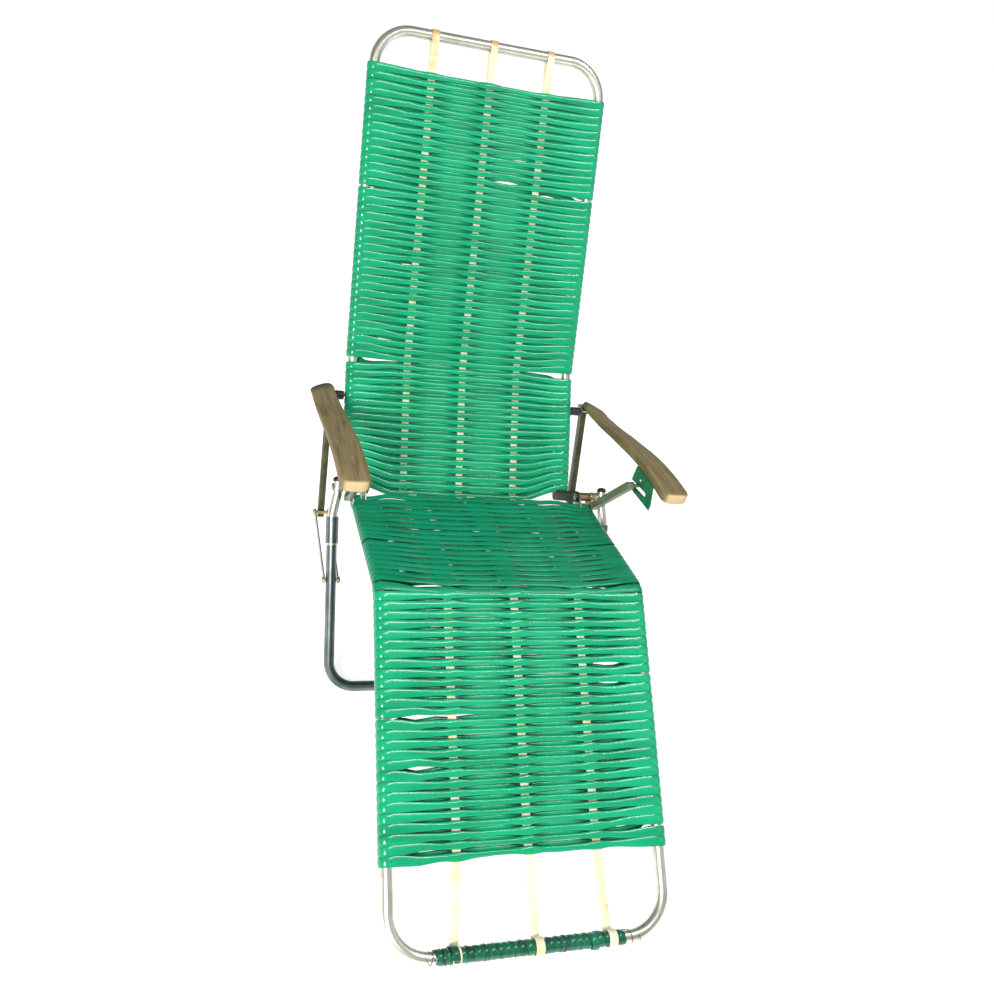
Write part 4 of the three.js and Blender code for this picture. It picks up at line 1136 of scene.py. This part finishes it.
for word, drift in FOOT_DRIFT.items():
    long_tape("seat", word, seat_track, seat_start, foot_rows[-1], toe, foot_heading - 262,
              foot_heading + 82, foot_reach, drift)
    long_tape("back", word, back_track, back_start, upper_rows[-1], back_top, upper_heading + 97,
              upper_heading - 97, top_reach)

# %% Tapes across the hip
# Narrower than the tapes that it tucks into, so that their edges don't meet
HIP_HALF = STRAP_HALF - 0.6 * MM
seat_lip = seat_track.at(seat_start)[0]
back_lip = back_track.at(back_start)[0]
into_seat = seat_lip + heading(seat_heading) * 20 * MM
into_back = back_lip + heading(lower_heading) * 20 * MM
sag = (seat_lip + back_lip) / 2 + side(0, -7 * MM)
route = rounded([into_seat, seat_lip, sag, back_lip, into_back], [10 * MM, 60 * MM, 10 * MM])
for word, x in STRAP_PLACES.items():
    piece = put(f"tape_hip_{word}", tape_mesh(f"tape_hip_{word}", x, route, HIP_HALF), tape, None)
    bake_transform(piece)

# %% [markdown]
# ## Wooden arms
# An arm starts as a straight board: a cube with its four upright corners rounded and its long edges
# eased, sliced across so that it can bend. Then each slice is moved to the arm's curved line. From rear
# to front the board widens, thickens and rolls level.

# %% Bend a board into an arm
ARM_LINE = [(0, -0.04), (0.08, 0.075), (0.18, 0.17), (0.475, 0.54), (0.74, 0.855), (1, 1)]
ARM_LENGTH, ARM_RISE = 515 * MM, 121 * MM
ARM_SLICES = 30
BOARD_WIDE, BOARD_THICK = 58, 19
CORNER_ROUND, RIM_ROUND = 22 * MM, 4.5 * MM
# In millimetres at the rear end and at the front: width, thickness and place across
WIDE_ENDS, THICK_ENDS, PLACE_ENDS = (49, 56), (16, 22), (321, 313)
# The roll at the rear end, and how far inside its middle line the board rolls
REAR_ROLL, ROLL_INSIDE = math.radians(24), 14 * MM
REAR_INSET = 12 * MM


def arm_line(share):
    """Height share of the arm's middle line at a share of its length, as a smooth curve."""
    points = [ARM_LINE[0], *ARM_LINE, ARM_LINE[-1]]
    for i in range(1, len(points) - 2):
        (x1, y1), (x2, y2) = points[i], points[i + 1]
        if share <= x2 or i == len(points) - 3:
            t = (share - x1) / (x2 - x1)
            y0, y3 = points[i - 1][1], points[i + 2][1]
            a = -y0 + 3 * y1 - 3 * y2 + y3
            b = 2 * y0 - 5 * y1 + 4 * y2 - y3
            return (a * t ** 3 + b * t ** 2 + (y2 - y0) * t) / 2 + y1


def arm_mesh(name, sign):
    bm = bmesh.new()
    bmesh.ops.create_cube(bm, size=1)
    bmesh.ops.scale(bm, vec=(BOARD_WIDE * MM, ARM_LENGTH, BOARD_THICK * MM), verts=bm.verts)
    upright = [e for e in bm.edges if abs(e.verts[0].co.z - e.verts[1].co.z) > 1 * MM]
    easing = {"affect": "EDGES", "profile": 0.5, "material": -1}
    bmesh.ops.bevel(bm, geom=upright, offset=CORNER_ROUND, segments=8, **easing)
    rims = [e for e in bm.edges if e.calc_face_angle(0) > math.radians(60)]
    bmesh.ops.bevel(bm, geom=rims, offset=RIM_ROUND, segments=4, **easing)
    for i in range(1, ARM_SLICES):
        y = ARM_LENGTH * (i / ARM_SLICES - 0.5)
        bmesh.ops.bisect_plane(
            bm, geom=[*bm.verts, *bm.edges, *bm.faces], plane_co=(0, y, 0), plane_no=(0, 1, 0)
        )
    rear = arm_pivot + side(31, 16.5) * MM
    for vertex in bm.verts:
        share = 0.5 - vertex.co.y / ARM_LENGTH
        width = between(*WIDE_ENDS, share) / BOARD_WIDE
        thick = between(*THICK_ENDS, share) / BOARD_THICK
        middle_x = between(*PLACE_ENDS, share) * MM
        roll = REAR_ROLL * (1 - share)
        out, rise = vertex.co.x * width + ROLL_INSIDE, vertex.co.z * thick
        vertex.co = Vector((
            sign * (middle_x - ROLL_INSIDE + out * math.cos(roll) + rise * math.sin(roll)),
            rear.y - REAR_INSET - (ARM_LENGTH - REAR_INSET) * share,
            rear.z + ARM_RISE * arm_line(share) - out * math.sin(roll) + rise * math.cos(roll),
        ))
    return mesh_from(name, bm)


for word, sign in SIDES.items():
    put(f"arm_wood_{word}", arm_mesh(f"arm_{word}", sign), arm_wood, f"arm_{word}",
        [f"armrest_{word}"])

# %% [markdown]
# ## Floor, light and camera
# The chair stands on a plain pale floor under an even sky. A key lamp shines from the front left, a long
# thin lamp overhead draws the streaks of light along the strands, and a weak fill lamp softens the right
# side. The camera looks down on the chair from the front left, at the photograph's angle.

# %% Floor and light
FLOOR_SIZE = 20
floor_mesh = bpy.data.meshes.new("floor")
bm = bmesh.new()
bmesh.ops.create_grid(bm, x_segments=1, y_segments=1, size=FLOOR_SIZE)
bm.to_mesh(floor_mesh)
bm.free()
floor = in_scene("floor", floor_mesh)
pale = Finish("floor_pale", roughness=0.9)
patches = pale.noise(pale.mapped(), 3.0)
pale.colour(pale.ramp(patches, [(0.3, (0.92, 0.92, 0.92)), (0.7, (0.94, 0.94, 0.94))]))
# The floor glows for the camera and in reflections only, so it is white without lighting the chair
seen = pale.node("LightPath", {}).outputs
either = pale.maths("MAXIMUM", seen["Is Camera Ray"], seen["Is Glossy Ray"])
pale.shade({"Emission Strength": pale.spread(either, 0.0, 0.7), "Emission Color": WHITE})
floor_mesh.materials.append(pale.material)

world = bpy.data.worlds.new("sky")
bpy.context.scene.world = world
world.use_nodes = True
sky = world.node_tree.nodes["Background"]
sky.inputs["Color"].default_value = (0.96, 0.98, 1.0, 1)
sky.inputs["Strength"].default_value = 0.34


def lamp(name, place, target, size, power, colour):
    data = bpy.data.lights.new(name, "AREA")
    data.shape = "RECTANGLE"
    data.size, data.size_y = size
    data.energy = power
    data.color = colour
    holder = in_scene(name, data)
    holder.location = place
    holder.rotation_euler = (Vector(target) - Vector(place)).to_track_quat("-Z", "Y").to_euler()


lamp("key", (-2.0, -3.1, 2.5), (0, 0, 0.4), (1.0, 1.0), 165, (1.0, 0.98, 0.95))
lamp("streak_light", (1.1, -0.7, 3.5), (0, 0.1, 0.5), (2.4, 0.25), 42, (1.0, 1.0, 1.0))
lamp("fill", (2.6, -1.6, 2.4), (0, 0, 0.4), (2.2, 2.2), 10, (0.95, 0.98, 1.0))

# %% Camera
# Where the photograph was taken from, counted from the hip bolt
EYE = Vector((-0.608, -1.549, 1.288))
camera_data = bpy.data.cameras.new("camera")
camera = in_scene("camera", camera_data)
camera_data.sensor_width = 36
camera_data.lens = 35.23
right = Vector((0.9498, -0.2126, 0.2294))
up = Vector((-0.0371, 0.6516, 0.7576))
back = Vector((-0.3105, -0.7281, 0.6110))
turn = Matrix((right, up, back)).transposed().to_4x4()
camera.matrix_world = Matrix.Translation(hip + EYE) @ turn
bpy.context.scene.camera = camera
bpy.context.scene.view_settings.view_transform = "Standard"
